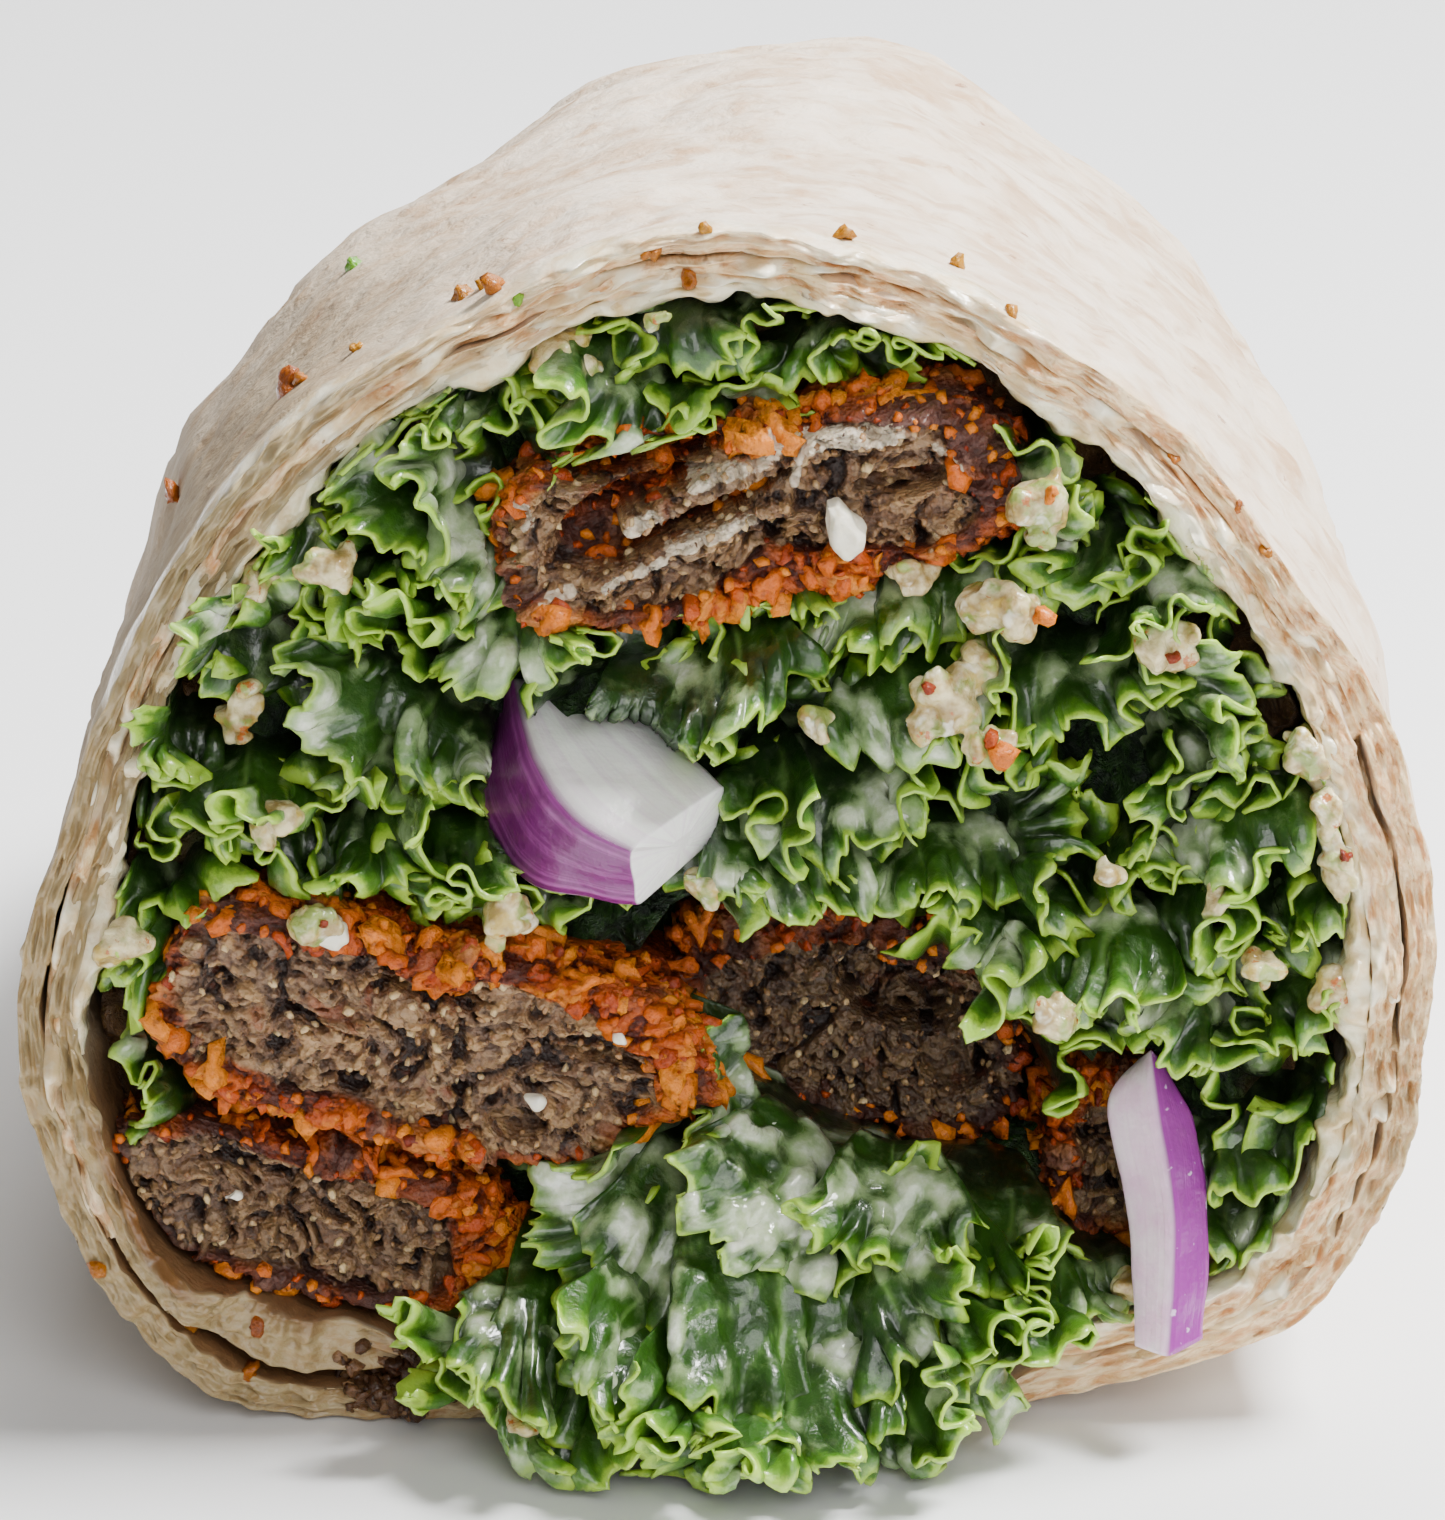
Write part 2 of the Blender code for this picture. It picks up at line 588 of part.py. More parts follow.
def material(name, colour, roughness):
    made = bpy.data.materials.new(name)
    made.use_nodes = True
    shader = made.node_tree.nodes["Principled BSDF"]
    shader.inputs["Base Color"].default_value = (*colour, 1.0)
    shader.inputs["Roughness"].default_value = roughness
    return made


def main():
    for obj in list(bpy.data.objects):
        bpy.data.objects.remove(obj)
    wrap = bpy.data.collections.new("wrap")
    helpers = bpy.data.collections.new("helpers")
    for collection in (wrap, helpers):
        bpy.context.scene.collection.children.link(collection)

    flatbread = rolled_sheet(wrap)
    tucked_end(helpers)
    boolean(flatbread, "UNION", helpers)

    strips = [crumbed_strip(name, wrap) for name in STRIPS]
    split_slot(helpers)
    boolean(strips[0], "DIFFERENCE", helpers)
    onions = [onion_piece(name, wrap) for name in ONIONS]
    salad = kale_salad(wrap, helpers)

    flatbread.data.materials.append(material("flatbread", (0.80, 0.69, 0.57), 0.75))
    salad.data.materials.append(material("kale", (0.10, 0.26, 0.05), 0.45))
    crust = material("crumbed_patty", (0.42, 0.15, 0.05), 0.7)
    flesh = material("red_onion", (0.62, 0.30, 0.52), 0.35)
    for strip in strips:
        strip.data.materials.append(crust)
    for onion in onions:
        onion.data.materials.append(flesh)

    origin = add_object("wrap_origin", None, wrap)
    origin.location.y = -CUT_TO_ORIGIN * MM
    for obj in (flatbread, salad, *strips, *onions):
        obj.parent = origin
    bpy.data.collections.remove(helpers)


main()
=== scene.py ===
"""The look of half a rolled flatbread wrap, cut across and laid on its side.

Every shape is worked out in millimetres in the cut's own frame: X to the right, Y from the cut into the roll,
Z up from the underside. It is moved into the row frame, in metres, as its mesh is made.
"""

import math

import bmesh
import bpy
import numpy as np
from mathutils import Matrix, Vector
from mathutils.bvhtree import BVHTree


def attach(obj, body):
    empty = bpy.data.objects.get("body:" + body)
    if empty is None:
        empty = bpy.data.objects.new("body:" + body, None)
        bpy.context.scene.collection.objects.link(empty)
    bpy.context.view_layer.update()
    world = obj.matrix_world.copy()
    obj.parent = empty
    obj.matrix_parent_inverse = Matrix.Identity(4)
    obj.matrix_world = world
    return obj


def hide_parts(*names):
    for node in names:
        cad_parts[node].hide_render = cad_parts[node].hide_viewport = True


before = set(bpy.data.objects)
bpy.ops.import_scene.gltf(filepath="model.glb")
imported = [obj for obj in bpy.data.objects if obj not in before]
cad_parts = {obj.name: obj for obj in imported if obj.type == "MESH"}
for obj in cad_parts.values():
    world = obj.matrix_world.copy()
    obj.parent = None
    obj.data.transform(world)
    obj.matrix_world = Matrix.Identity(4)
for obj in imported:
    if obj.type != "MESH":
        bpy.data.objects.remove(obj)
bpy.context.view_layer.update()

MM = 0.001
CUT_TO_ORIGIN = 38.0  # the row frame's origin lies this far behind the cut
SEED = 11

# The photograph's view, in the cut's frame: how far down it looks, from how far, and at what height.
VIEW_TILT = math.radians(20.0)
VIEW_DISTANCE = 383.797
AIM_HEIGHT = 36.611
TOWARDS_CAMERA = np.array((0.0, -math.cos(VIEW_TILT), math.sin(VIEW_TILT)))
CAMERA_AT = TOWARDS_CAMERA * VIEW_DISTANCE + (0.0, 0.0, AIM_HEIGHT)
VIEW_FROM = CAMERA_AT.round(2)

# The roll, as in the solids.
WRAP_LENGTH = 88.0
MIDDLE_AT = 38.0  # depth of the middle outline
TAPER_LENGTH = 30.0  # from there the roll grows slimmer over this length
TAPER_WIDTH, TAPER_HEIGHT, TAPER_SHIFT = 0.10, 0.045, 2.4
SHEET = 1.7
LAYER_GAP = 0.35
PITCH = SHEET + LAYER_GAP
COLUMNS_PER_TURN = 208
ROLL_COLUMNS = 388
ROLL_TURNS = ROLL_COLUMNS / COLUMNS_PER_TURN
SEAM_FROM, SEAM_TO = 0.945, 0.995  # where the sheet dives under its outer end
FLAP_FROM, FLAP_TO = 1.755, 1.81  # where its inner end curls
FLAP_LIFT = 0.6
FLAP_SHEET = 3.1
CROWN_THINNING, GAP_THINNING = 0.5, 0.4  # of the sheet and of the step between layers, over the filling
DOME_FROM = 58.0
DOME_EDGE = 60.0
LAP = 0.8  # how far the rolled sheet and the tucked end run under each other
DOME_WALL = 4.4
DOME_FULLNESS, DOME_ROUNDING = 2.4, 0.45
DOME_MIDDLE = np.array((3.0, 27.0))
SEAM_TWIST = 0.3
AXIS_POINT = np.array((1.0, 28.0))
CUT_OUTLINE = (
    (12.0, 0.0), (29.0, 4.5), (35.0, 14.5), (36.3, 24.0), (34.6, 36.0), (29.0, 46.2), (19.0, 57.0),
    (6.0, 63.6), (-8.0, 62.4), (-21.0, 54.6), (-29.5, 43.6), (-34.0, 31.0), (-36.0, 19.0), (-32.0, 7.0),
    (-24.5, 0.6), (-11.0, 0.0), (3.0, 0.0),
)  # fmt: skip
MIDDLE_OUTLINE = (
    (13.0, 0.0), (28.0, 4.0), (34.5, 13.0), (36.2, 24.0), (34.6, 34.5), (30.5, 43.0), (21.0, 52.5),
    (8.0, 59.8), (-6.0, 58.8), (-19.0, 52.6), (-28.2, 43.6), (-33.0, 32.0), (-35.0, 19.0), (-31.5, 7.0),
    (-24.0, 0.8), (-11.0, 0.0), (3.0, 0.0),
)  # fmt: skip

# Crumbed patty strips: centre x, z of the section, first and last depth, half width, half height and roll.
STRIPS = {
    "patty_strip_top": (2.0, 49.6, -0.6, 54.0, 12.4, 4.6, 11.0),
    "patty_strip_left": (-15.5, 21.7, -1.2, 55.0, 13.3, 5.0, -14.0),
    "patty_strip_low": (-20.9, 10.9, 0.6, 52.0, 9.8, 3.7, -15.0),
    "patty_strip_inner": (7.5, 19.6, 7.0, 54.0, 8.5, 5.2, -14.0),
    "patty_strip_right": (20.4, 12.6, 5.6, 50.0, 3.2, 4.6, 8.0),
}
STRIP_SQUARE = 3.2  # exponent of the strips' rounded section

# Around each strip's cut end, at steps of 30 degrees from its right side and over its top: its outline as a
# share of the plain section, its crust's thickness, and how brown the crust is, from 0, orange, to 1.
STRIP_EDGES = {
    "patty_strip_top": (
        (1.0, 1.0, 1.06, 1.0, 1.12, 1.06, 1.03, 1.03, 1.0, 0.82, 0.9, 1.02),
        (2.4, 2.0, 0.9, 0.5, 0.6, 0.6, 0.8, 1.2, 1.9, 2.4, 2.6, 2.4),
        (1.0, 1.0, 0.7, 0.3, 0.3, 0.6, 0.8, 0.5, 0.15, 0.0, 0.1, 0.35),
    ),
    "patty_strip_left": (
        (1.15, 1.06, 1.12, 1.02, 1.1, 1.0, 0.96, 1.0, 1.13, 1.06, 1.06, 0.83),
        (1.7, 3.4, 3.0, 2.3, 2.4, 1.0, 0.6, 1.3, 2.3, 0.9, 0.25, 0.2),
        (0.15, 0.05, 0.0, 0.1, 0.1, 0.4, 0.7, 0.5, 0.05, 0.4, 0.8, 0.8),
    ),
    "patty_strip_low": (
        (0.96, 0.98, 1.1, 1.1, 1.0, 1.12, 1.15, 1.0, 1.0, 1.1, 1.1, 1.0),
        (2.0, 2.4, 2.0, 1.2, 0.5, 0.3, 0.3, 0.5, 0.9, 1.0, 1.2, 1.8),
        (0.1, 0.0, 0.1, 0.5, 0.8, 0.9, 0.9, 0.8, 0.6, 0.6, 0.5, 0.3),
    ),
    "patty_strip_inner": (
        (0.95, 0.92, 0.95, 1.1, 1.06, 1.15, 1.2, 1.0, 0.9, 1.1, 1.1, 1.05),
        (0.8, 0.8, 1.2, 1.9, 2.6, 3.0, 2.4, 1.2, 0.8, 0.6, 0.6, 0.8),
        (0.9, 0.9, 0.8, 0.6, 0.3, 0.3, 0.4, 0.6, 0.8, 0.9, 0.9, 0.9),
    ),
    "patty_strip_right": ((1.0,) * 12, (1.3,) * 12, (0.35,) * 12),
}
# Torn places in the cut ends: centre x, z, half width, half height, roll and depth.
STRIP_HOLLOWS = {
    "patty_strip_top": (
        (-3.6, 49.6, 5.4, 2.3, 20.0, 4.2), (-4.5, 53.2, 5.0, 1.7, 12.0, 5.0),
        (1.5, 51.2, 2.4, 0.45, 30.0, 2.5), (9.0, 51.6, 2.6, 0.7, 8.0, 1.6),
    ),
    "patty_strip_left": (
        (-10.6, 17.0, 1.6, 0.9, -10.0, 1.6), (-15.0, 24.4, 3.6, 0.45, -12.0, 1.6),
        (-5.4, 25.6, 3.2, 0.5, -42.0, 2.2), (-6.0, 20.6, 3.0, 0.4, -14.0, 1.6),
    ),
    "patty_strip_inner": ((9.0, 21.0, 3.6, 1.8, -20.0, 2.5), (12.0, 17.0, 2.0, 1.6, 0.0, 2.0)),
    "patty_strip_low": ((-14.6, 8.2, 0.5, 1.6, -10.0, 1.4),),
}
# Ridges left standing across them: x, z of both ends, half thickness and depth behind the cut.
STRIP_RIDGES = {
    "patty_strip_top": (
        (-4.6, 49.4, -1.0, 51.2, 0.75, -1.0), (-1.0, 51.2, 3.6, 53.4, 0.8, -1.0),
        (3.6, 53.4, 9.5, 54.6, 0.8, -1.1), (-6.3, 45.9, -2.0, 48.2, 0.8, -0.9),
        (-2.0, 48.2, 2.8, 50.4, 0.75, -1.2), (-9.9, 46.0, -10.2, 51.5, 0.8, -0.8),
    ),
}
# How much painted shade darkens a strip that lies deep in the roll.
STRIP_PAINTED_SHADE = {"patty_strip_inner": 0.55, "patty_strip_low": 0.22, "patty_strip_right": 0.2}
# Hollows of these strips take less painted shade.
GOLDEN_HOLLOWS = ("patty_strip_top",)  # strips with fried crumb in their hollows, which are less dark
# Smears of dressing on them: x, z of both ends and half width.
STRIP_SMEARS = {
    "patty_strip_top": (
        (2.6, 53.7, 8.6, 54.4, 0.62), (-1.4, 51.6, 2.4, 53.1, 0.5), (-4.4, 49.3, -3.4, 49.9, 0.55),
        (-5.8, 46.2, -3.0, 47.6, 0.35), (-2.6, 48.2, 1.4, 49.9, 0.42), (-9.8, 49.4, -9.9, 50.4, 0.4),
        (3.6, 51.6, 3.8, 53.2, 0.3), (-8.6, 45.6, -7.6, 45.9, 0.4), (10.6, 53.4, 11.8, 52.6, 0.3),
    ),
    "patty_strip_left": ((-20.6, 27.9, -18.9, 28.3, 0.6), (-12.2, 27.4, -10.4, 28.4, 0.5)),
}

# Pieces of red onion: sections of four corners (x, y, z), from the end inside the heap to the other.
ONIONS = {
    "onion_wedge": (
        ((-10.7, 4.0, 39.7), (-12.1, 6.0, 35.8), (-8.4, 9.0, 33.1), (-7.4, 8.0, 37.5)),
        ((-9.7, 0.0, 37.1), (-12.4, 2.5, 32.7), (-6.3, 7.0, 31.3), (-4.2, 5.0, 37.8)),
        ((-7.6, -3.0, 34.8), (-10.3, -0.5, 30.0), (-4.0, 4.0, 29.7), (-1.4, 2.0, 36.7)),
        ((-4.8, -4.5, 33.4), (-4.4, -2.5, 29.5), (-0.4, 0.5, 32.2), (0.2, -0.5, 35.6)),
    ),
    "onion_slice": (
        ((22.1, 1.5, 20.2), (22.9, 2.5, 18.9), (22.2, 4.0, 18.0), (21.5, 3.0, 19.0)),
        ((22.5, 0.0, 17.3), (24.5, 1.5, 16.0), (21.7, 3.0, 15.6), (19.7, 1.5, 17.1)),
        ((23.3, -2.0, 12.1), (25.3, -0.2, 11.6), (22.7, 1.3, 11.0), (20.8, -0.5, 11.8)),
        ((22.9, -5.0, 5.8), (25.0, -3.3, 6.1), (23.2, -2.0, 5.7), (21.1, -3.6, 5.8)),
    ),
}
ONION_COVERED = (2.0, 3.0)  # millimetres of each one's top that leaves may cover

# ---------------------------------------------------------------- numbers and noise


def smooth(share):
    """Rises gently from 0 to 1."""
    share = np.clip(share, 0.0, 1.0)
    return share * share * (3 - 2 * share)


def ramp(value, low, high):
    return smooth((np.asarray(value, float) - low) / (high - low))


def rise_and_fall(value, low, high, falling, gone):
    """Rises from 0 to 1 and falls back to 0."""
    return ramp(value, low, high) * (1 - ramp(value, falling, gone))


def waves(points, size, seed):
    """Smooth noise of about -1 to 1 with features of that size, as a sum of plane waves.

    The points are rows of coordinates, or a tuple with an array for each coordinate.
    """
    rng, count = np.random.default_rng(seed), 20
    points = np.stack(points, -1) if isinstance(points, tuple) else np.asarray(points, float)
    directions = rng.normal(size=(points.shape[-1], count))
    directions /= np.linalg.norm(directions, axis=0)
    rates = math.tau / (size * rng.uniform(1.2, 3.0, count))
    phases = rng.uniform(0, math.tau, count)
    return np.sin(points @ (directions * rates) + phases).sum(-1) * 0.9 / math.sqrt(count / 2)


def scramble(cells, seed):
    """Four even draws from 0 to 1 for each cell of a grid, the same on every run."""
    key = cells @ np.array((73856093, 19349663, 83492791)) + 7919 * seed
    key = key.astype(np.uint64)
    made = []
    for _ in range(4):
        for shift, factor in ((15, 2246822519), (13, 3266489917)):
            key = (key ^ (key >> np.uint64(shift))) * np.uint64(factor) & np.uint64(0xFFFFFFFF)
        made.append((key ^ (key >> np.uint64(16))).astype(float) / 2**32)
    return made


def domes(points, size, seed):
    """Rounded lumps of about that size that touch: each point's height from 0 to 1, and its lump's draw."""
    points = np.asarray(points, float) / size
    home = np.floor(points).astype(np.int64)
    nearest = np.full(points.shape[:-1], 9.0)
    draw = np.zeros(points.shape[:-1])
    for shift in np.ndindex(3, 3, 3):
        cell = home + np.array(shift) - 1
        *offset, own = scramble(cell, seed)
        away = ((cell + np.stack(offset, -1) - points) ** 2).sum(-1)
        draw = np.where(away < nearest, own, draw)
        nearest = np.minimum(nearest, away)
    reach = 0.64  # of a lump, squared
    return np.clip(1 - nearest / reach, 0, 1), draw


def unit(vectors):
    return vectors / np.maximum(np.linalg.norm(vectors, axis=-1, keepdims=True), 1e-9)


# ---------------------------------------------------------------- the roll's form


def between_points(a, b, c, d, t):
    """The smooth Catmull-Rom curve from b, where t is 0, to c, where it is 1, between the points a and d."""
    return 0.5 * (2 * b + (c - a) * t + (2 * a - 5 * b + 4 * c - d) * t**2 + (3 * b - a - 3 * c + d) * t**3)


def on_curve(points, turn):
    """Points of the closed smooth curve through the points, at those shares of a turn."""
    points = np.array(points)
    place = (turn % 1.0) * len(points)
    i = np.floor(place).astype(int)
    return between_points(*(points[(i + k) % len(points)] for k in (-1, 0, 1, 2)), (place - i)[..., None])


def at_depth(flat, y, lowest=-math.inf):
    """Points from pairs of x and z and their depths behind the cut, none lower than that."""
    return np.stack([flat[..., 0], np.broadcast_to(y, flat.shape[:-1]), np.maximum(flat[..., 1], lowest)], -1)


def turned(flat, degrees):
    """Pairs of x and z, turned about 0, 0 from the right upwards."""
    turn = math.radians(degrees)
    x, z = flat[..., 0], flat[..., 1]
    return np.stack([x * math.cos(turn) - z * math.sin(turn), x * math.sin(turn) + z * math.cos(turn)], -1)


def skin(turn, y):
    """The roll's outer surface, as x and z, at shares of a turn and depths behind the cut."""
    blend = ramp(y, 0, MIDDLE_AT)[..., None]
    point = on_curve(CUT_OUTLINE, turn) * (1 - blend) + on_curve(MIDDLE_OUTLINE, turn) * blend
    taper = ramp(y, MIDDLE_AT, MIDDLE_AT + TAPER_LENGTH)
    x = point[..., 0] * (1 - TAPER_WIDTH * taper) + TAPER_SHIFT * taper
    z = np.maximum(point[..., 1] * (1 - TAPER_HEIGHT * taper), 0)
    past = np.clip((y - DOME_FROM) / (WRAP_LENGTH - DOME_FROM), 0, 1)
    shrink = (1 - past**DOME_FULLNESS)[..., None] ** DOME_ROUNDING
    return DOME_MIDDLE + (np.stack([x, z], -1) - DOME_MIDDLE) * shrink


def under_skin(turn, y, depth):
    """Points that lie that deep under the outer surface, as x and z."""
    turn, y, depth = np.broadcast_arrays(np.asarray(turn, float), np.asarray(y, float), depth)
    nearby, last_wall = 0.004, np.minimum(y, WRAP_LENGTH - 2)
    along = unit(skin(turn + nearby, last_wall) - skin(turn - nearby, last_wall))
    inward = np.stack([-along[..., 1], along[..., 0]], -1)
    return skin(turn, y) + inward * depth[..., None]


def outward_step(turn, y):
    """A millimetre outwards from the outer surface."""
    return under_skin(turn, y, np.zeros_like(turn)) - under_skin(turn, y, np.ones_like(turn))


def flap(turn):
    """0 along the sheet, rising to 1 at its curled inner end."""
    return ramp(turn, FLAP_FROM, FLAP_TO)


def stretched(turn):
    """Where the sheet is drawn thin as it bends over the filling, from 0 to 1."""
    return rise_and_fall(turn % 1.0, 0.2, 0.34, 0.66, 0.76)


def sheet_depth(turn):
    """How deep the outer side of the sheet lies under the roll's outline, that far along the sheet."""
    under = ramp(turn, SEAM_FROM, SEAM_TO)
    return (PITCH - GAP_THINNING * stretched(turn)) * under + FLAP_LIFT * flap(turn)


def sheet_thickness(turn):
    return (SHEET - CROWN_THINNING * stretched(turn)) * (1 - flap(turn)) + FLAP_SHEET * flap(turn)


def wall_depth(turn):
    """How deep the inner side of the flatbread lies under the roll's outline."""
    turn = turn % 1.0
    innermost = np.where(turn + 1 < ROLL_TURNS + 0.02, turn + 1, turn)
    return sheet_depth(innermost) + sheet_thickness(innermost)


def polar(flat):
    """Angles and distances of pairs of x and z from the axis point."""
    spokes = flat - AXIS_POINT
    return np.arctan2(spokes[..., 1], spokes[..., 0]), np.linalg.norm(spokes, axis=-1)


def ring_inside(gap):
    """The outline that far inside the flatbread at the cut, as sorted angles and distances."""
    turns = np.arange(360) / 360
    angles, distances = polar(under_skin(turns, 0.0, wall_depth(turns) + gap))
    order = np.argsort(angles)
    return angles[order], distances[order]


INNER_RING = ring_inside(0.3)


def room_inside(angles):
    """How far the flatbread's inner side is from the axis point at the cut."""
    return np.interp(angles, *INNER_RING, period=math.tau)


def held_inside(points, soft=1.5):
    """Draws points in towards the axis near the flatbread. In front of the rim they may lie over it."""
    x, y, z = points[..., 0], points[..., 1], points[..., 2]
    flat = np.stack([x, z], -1)
    angles, reach = polar(flat)
    over_rim = np.minimum(0.9 * np.maximum(-1.0 - y, 0.0), 5.0)
    limit = room_inside(angles) + over_rim
    near = limit - soft
    drawn = np.where(reach > near, limit - soft * np.exp(-(reach - near) / soft), reach)
    return at_depth(AXIS_POINT + (flat - AXIS_POINT) * (drawn / np.maximum(reach, 1e-6))[..., None], y)


def around_strip(values, angle):
    """Reads twelve values that stand around a strip, at angles in radians from its right side."""
    return np.interp(np.degrees(angle) % 360, np.arange(13) * 30, (*values, values[0]))


def in_section(x, z, section):
    """Where x, z lies across and up a section, in half sizes. It has a centre, half sizes and a roll."""
    cx, cz, half_width, half_height, roll = section
    flat = turned(np.stack([x - cx, z - cz], -1), -roll)
    return flat[..., 0] / half_width, flat[..., 1] / half_height


def strip_place(name, x, z):
    """How far out of a strip's middle x, z lies, where 1 is its surface."""
    across, up = in_section(x, z, STRIPS[name][:2] + STRIPS[name][4:])
    out = (np.abs(across) ** STRIP_SQUARE + np.abs(up) ** STRIP_SQUARE) ** (1 / STRIP_SQUARE)
    return out / around_strip(STRIP_EDGES[name][0], np.arctan2(up, across))


def clear_of_strips(points, room=1.12, before=1.6):
    """Pushes points out of the strips' sections, up to that far before a strip's cut end."""
    x, y, z = points[..., 0], points[..., 1], points[..., 2]
    for name, (cx, cz, first, *_) in STRIPS.items():
        out = np.maximum(strip_place(name, x, z), 0.05)
        held = ramp(y, first - before, first - 0.75 * before)
        wanted = np.where(out < room, room - 0.25 * (1 - out / room), out)
        grow = 1 + (wanted / out - 1) * held
        x, z = cx + (x - cx) * grow, cz + (z - cz) * grow
    return np.stack([x, y, z], -1)


# ---------------------------------------------------------------- meshes


def to_row(points):
    """From millimetres in the cut's frame to metres in the row frame."""
    return (np.asarray(points, float) - (0.0, CUT_TO_ORIGIN, 0.0)) * MM


def add_object(name, mesh, *materials):
    obj = bpy.data.objects.new(name, mesh)
    bpy.context.scene.collection.objects.link(obj)
    for material in materials:
        mesh.materials.append(material)
    mesh.shade_smooth()
    return obj


def add_attributes(mesh, values):
    for name, value in values.items():
        made = mesh.attributes.new(name, "FLOAT", "POINT")
        made.data.foreach_set("value", np.asarray(value, np.float32).ravel())


def attribute_values(obj, name):
    values = np.empty(len(obj.data.vertices), np.float32)
    obj.data.attributes[name].data.foreach_get("value", values)
    return values


def mesh_object(name, points, faces, material, **values):
    """An object from points in millimetres and faces, with a point attribute for each named value."""
    mesh = bpy.data.meshes.new(name)
    mesh.from_pydata(to_row(points), [], faces)
    add_attributes(mesh, values)
    mesh.update()
    return add_object(name, mesh, material)


def row_points(obj):
    """The object's points in millimetres, in the cut's frame."""
    flat = np.empty(len(obj.data.vertices) * 3)
    obj.data.vertices.foreach_get("co", flat)
    return flat.reshape(-1, 3) / MM + (0.0, CUT_TO_ORIGIN, 0.0)


def surface_tree(obj):
    """The object's faces, in millimetres, for a line of sight to meet."""
    faces = [tuple(face.vertices) for face in obj.data.polygons]
    return BVHTree.FromPolygons([Vector(point) for point in row_points(obj)], faces)


def plain_mesh(obj):
    """The object's shape with its modifiers, as a plain mesh."""
    bpy.context.view_layer.update()
    made = bpy.data.meshes.new_from_object(obj.evaluated_get(bpy.context.evaluated_depsgraph_get()))
    made.name = obj.name
    return made


def roughened(obj, *layers):
    """Shifts the object's points along their normals by noise of those heights, sizes and seeds."""
    points = row_points(obj)
    normal = np.array([vert.normal for vert in obj.data.vertices])
    shift = sum(height * waves(points, size, seed) for height, size, seed in layers)
    obj.data.vertices.foreach_set("co", to_row(points + normal * shift[:, None]).ravel())
    return obj


def outward_faces(obj):
    """Turns the faces of a closed mesh outwards."""
    bm = bmesh.new()
    bm.from_mesh(obj.data)
    bmesh.ops.recalc_face_normals(bm, faces=bm.faces)
    bm.to_mesh(obj.data)
    bm.free()
    return obj


def grid_faces(rows, columns, start=0, flip=False):
    """Quads of a grid whose points are numbered row by row."""
    first = (np.arange(rows - 1)[:, None] * columns + np.arange(columns - 1)[None, :]).ravel() + start
    quads = np.stack([first, first + 1, first + columns + 1, first + columns], -1)
    return quads[:, ::-1] if flip else quads


def grid_rim(rows, columns):
    """The numbers of a grid's border points, once around."""
    right, left = np.arange(1, rows) * columns + columns - 1, np.arange(rows - 2, 0, -1) * columns
    back = (rows - 1) * columns + np.arange(columns - 2, -1, -1)
    return np.concatenate([np.arange(columns), right, back, left])


def grid_facing(grid):
    """The direction that each point of a grid faces."""
    return unit(np.cross(np.gradient(grid, axis=1), np.gradient(grid, axis=0)))


def band_faces(rows, columns):
    """Faces of a closed band: rows of points that go once around it, with a flat face at each end."""
    faces = grid_faces(rows, columns).tolist()
    last = (rows - 1) * columns
    faces += [[last + j, last + j + 1, j + 1, j] for j in range(columns - 1)]
    ends = [[i * columns for i in range(rows)], [i * columns + columns - 1 for i in range(rows)][::-1]]
    return faces + ends


def ring_quads(first, second, around, corner=0):
    """Quads between two closed rings whose points start at those numbers, from that corner of each on."""
    j = np.arange(around)
    after = (j + 1) % around
    quads = np.stack([first + j, second + j, second + after, first + after], -1)
    return np.roll(quads, -corner, 1).tolist()


def ring_fan(start, pole, around, flip=False):
    """Triangles from a closed ring to the point that closes it."""
    faces = [[start + j, start + (j + 1) % around, pole] for j in range(around)]
    return [[b, a, c] for a, b, c in faces] if flip else faces


def capped_rings(count, around, corner=0):
    """Faces of a row of closed rings. The two points after the rings close its ends."""
    faces = []
    for i in range(count - 1):
        faces += ring_quads(i * around, (i + 1) * around, around, corner)
    poles = count * around
    return faces + ring_fan(0, poles, around) + ring_fan(poles - around, poles + 1, around, flip=True)


class Pile:
    """Points, faces and attributes gathered into one object."""

    def __init__(self, name, material, attributes):
        self.name, self.material, self.attributes = name, material, attributes
        self.points, self.faces, self.values, self.count = [], [], {a: [] for a in attributes}, 0

    def add(self, points, faces=(), **values):
        """Adds points, faces numbered among them and attributes, which are 0 where none is given."""
        self.points.append(points)
        self.faces += (np.asarray(faces) + self.count).tolist()
        for name in self.attributes:
            self.values[name].append(np.broadcast_to(values.get(name, 0.0), len(points)))
        self.count += len(points)

    def make(self, faces=()):
        """The object, with more faces that are numbered over the whole pile."""
        values = {name: np.concatenate(parts) for name, parts in self.values.items()}
        faces = [*self.faces, *faces]
        return mesh_object(self.name, np.concatenate(self.points), faces, self.material, **values)


def settle(obj, slot, *nodes):
    """Puts a finished piece on the wrap's one body."""
    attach(obj, "root")
    if nodes:
        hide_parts(*nodes)
    return obj


# ---------------------------------------------------------------- materials

# The point attributes that each finish reads.
BREAD_VALUES = ("cut", "dressing", "along", "through", "toasted", "soaked")
LEAF_VALUES = ("edge", "film", "vein", "tone", "deep")
STRIP_VALUES = ("crust", "brown", "grain", "shade", "smear", "rise")
ONION_VALUES = ("skin", "line", "blush")


def add_node(tree, kind, inputs=(), **settings):
    """Adds a node with those settings, sets or joins its inputs, and gives its outputs."""
    made = tree.nodes.new(kind)
    for key, value in settings.items():
        setattr(made, key, value)
    for key, value in dict(inputs).items():
        fill(tree, made.inputs[key], value)
    return made.outputs


def fill(tree, socket, value):
    if isinstance(value, bpy.types.NodeSocket):
        tree.links.new(value, socket)
    else:
        socket.default_value = (*value, 1.0) if socket.type == "RGBA" else value


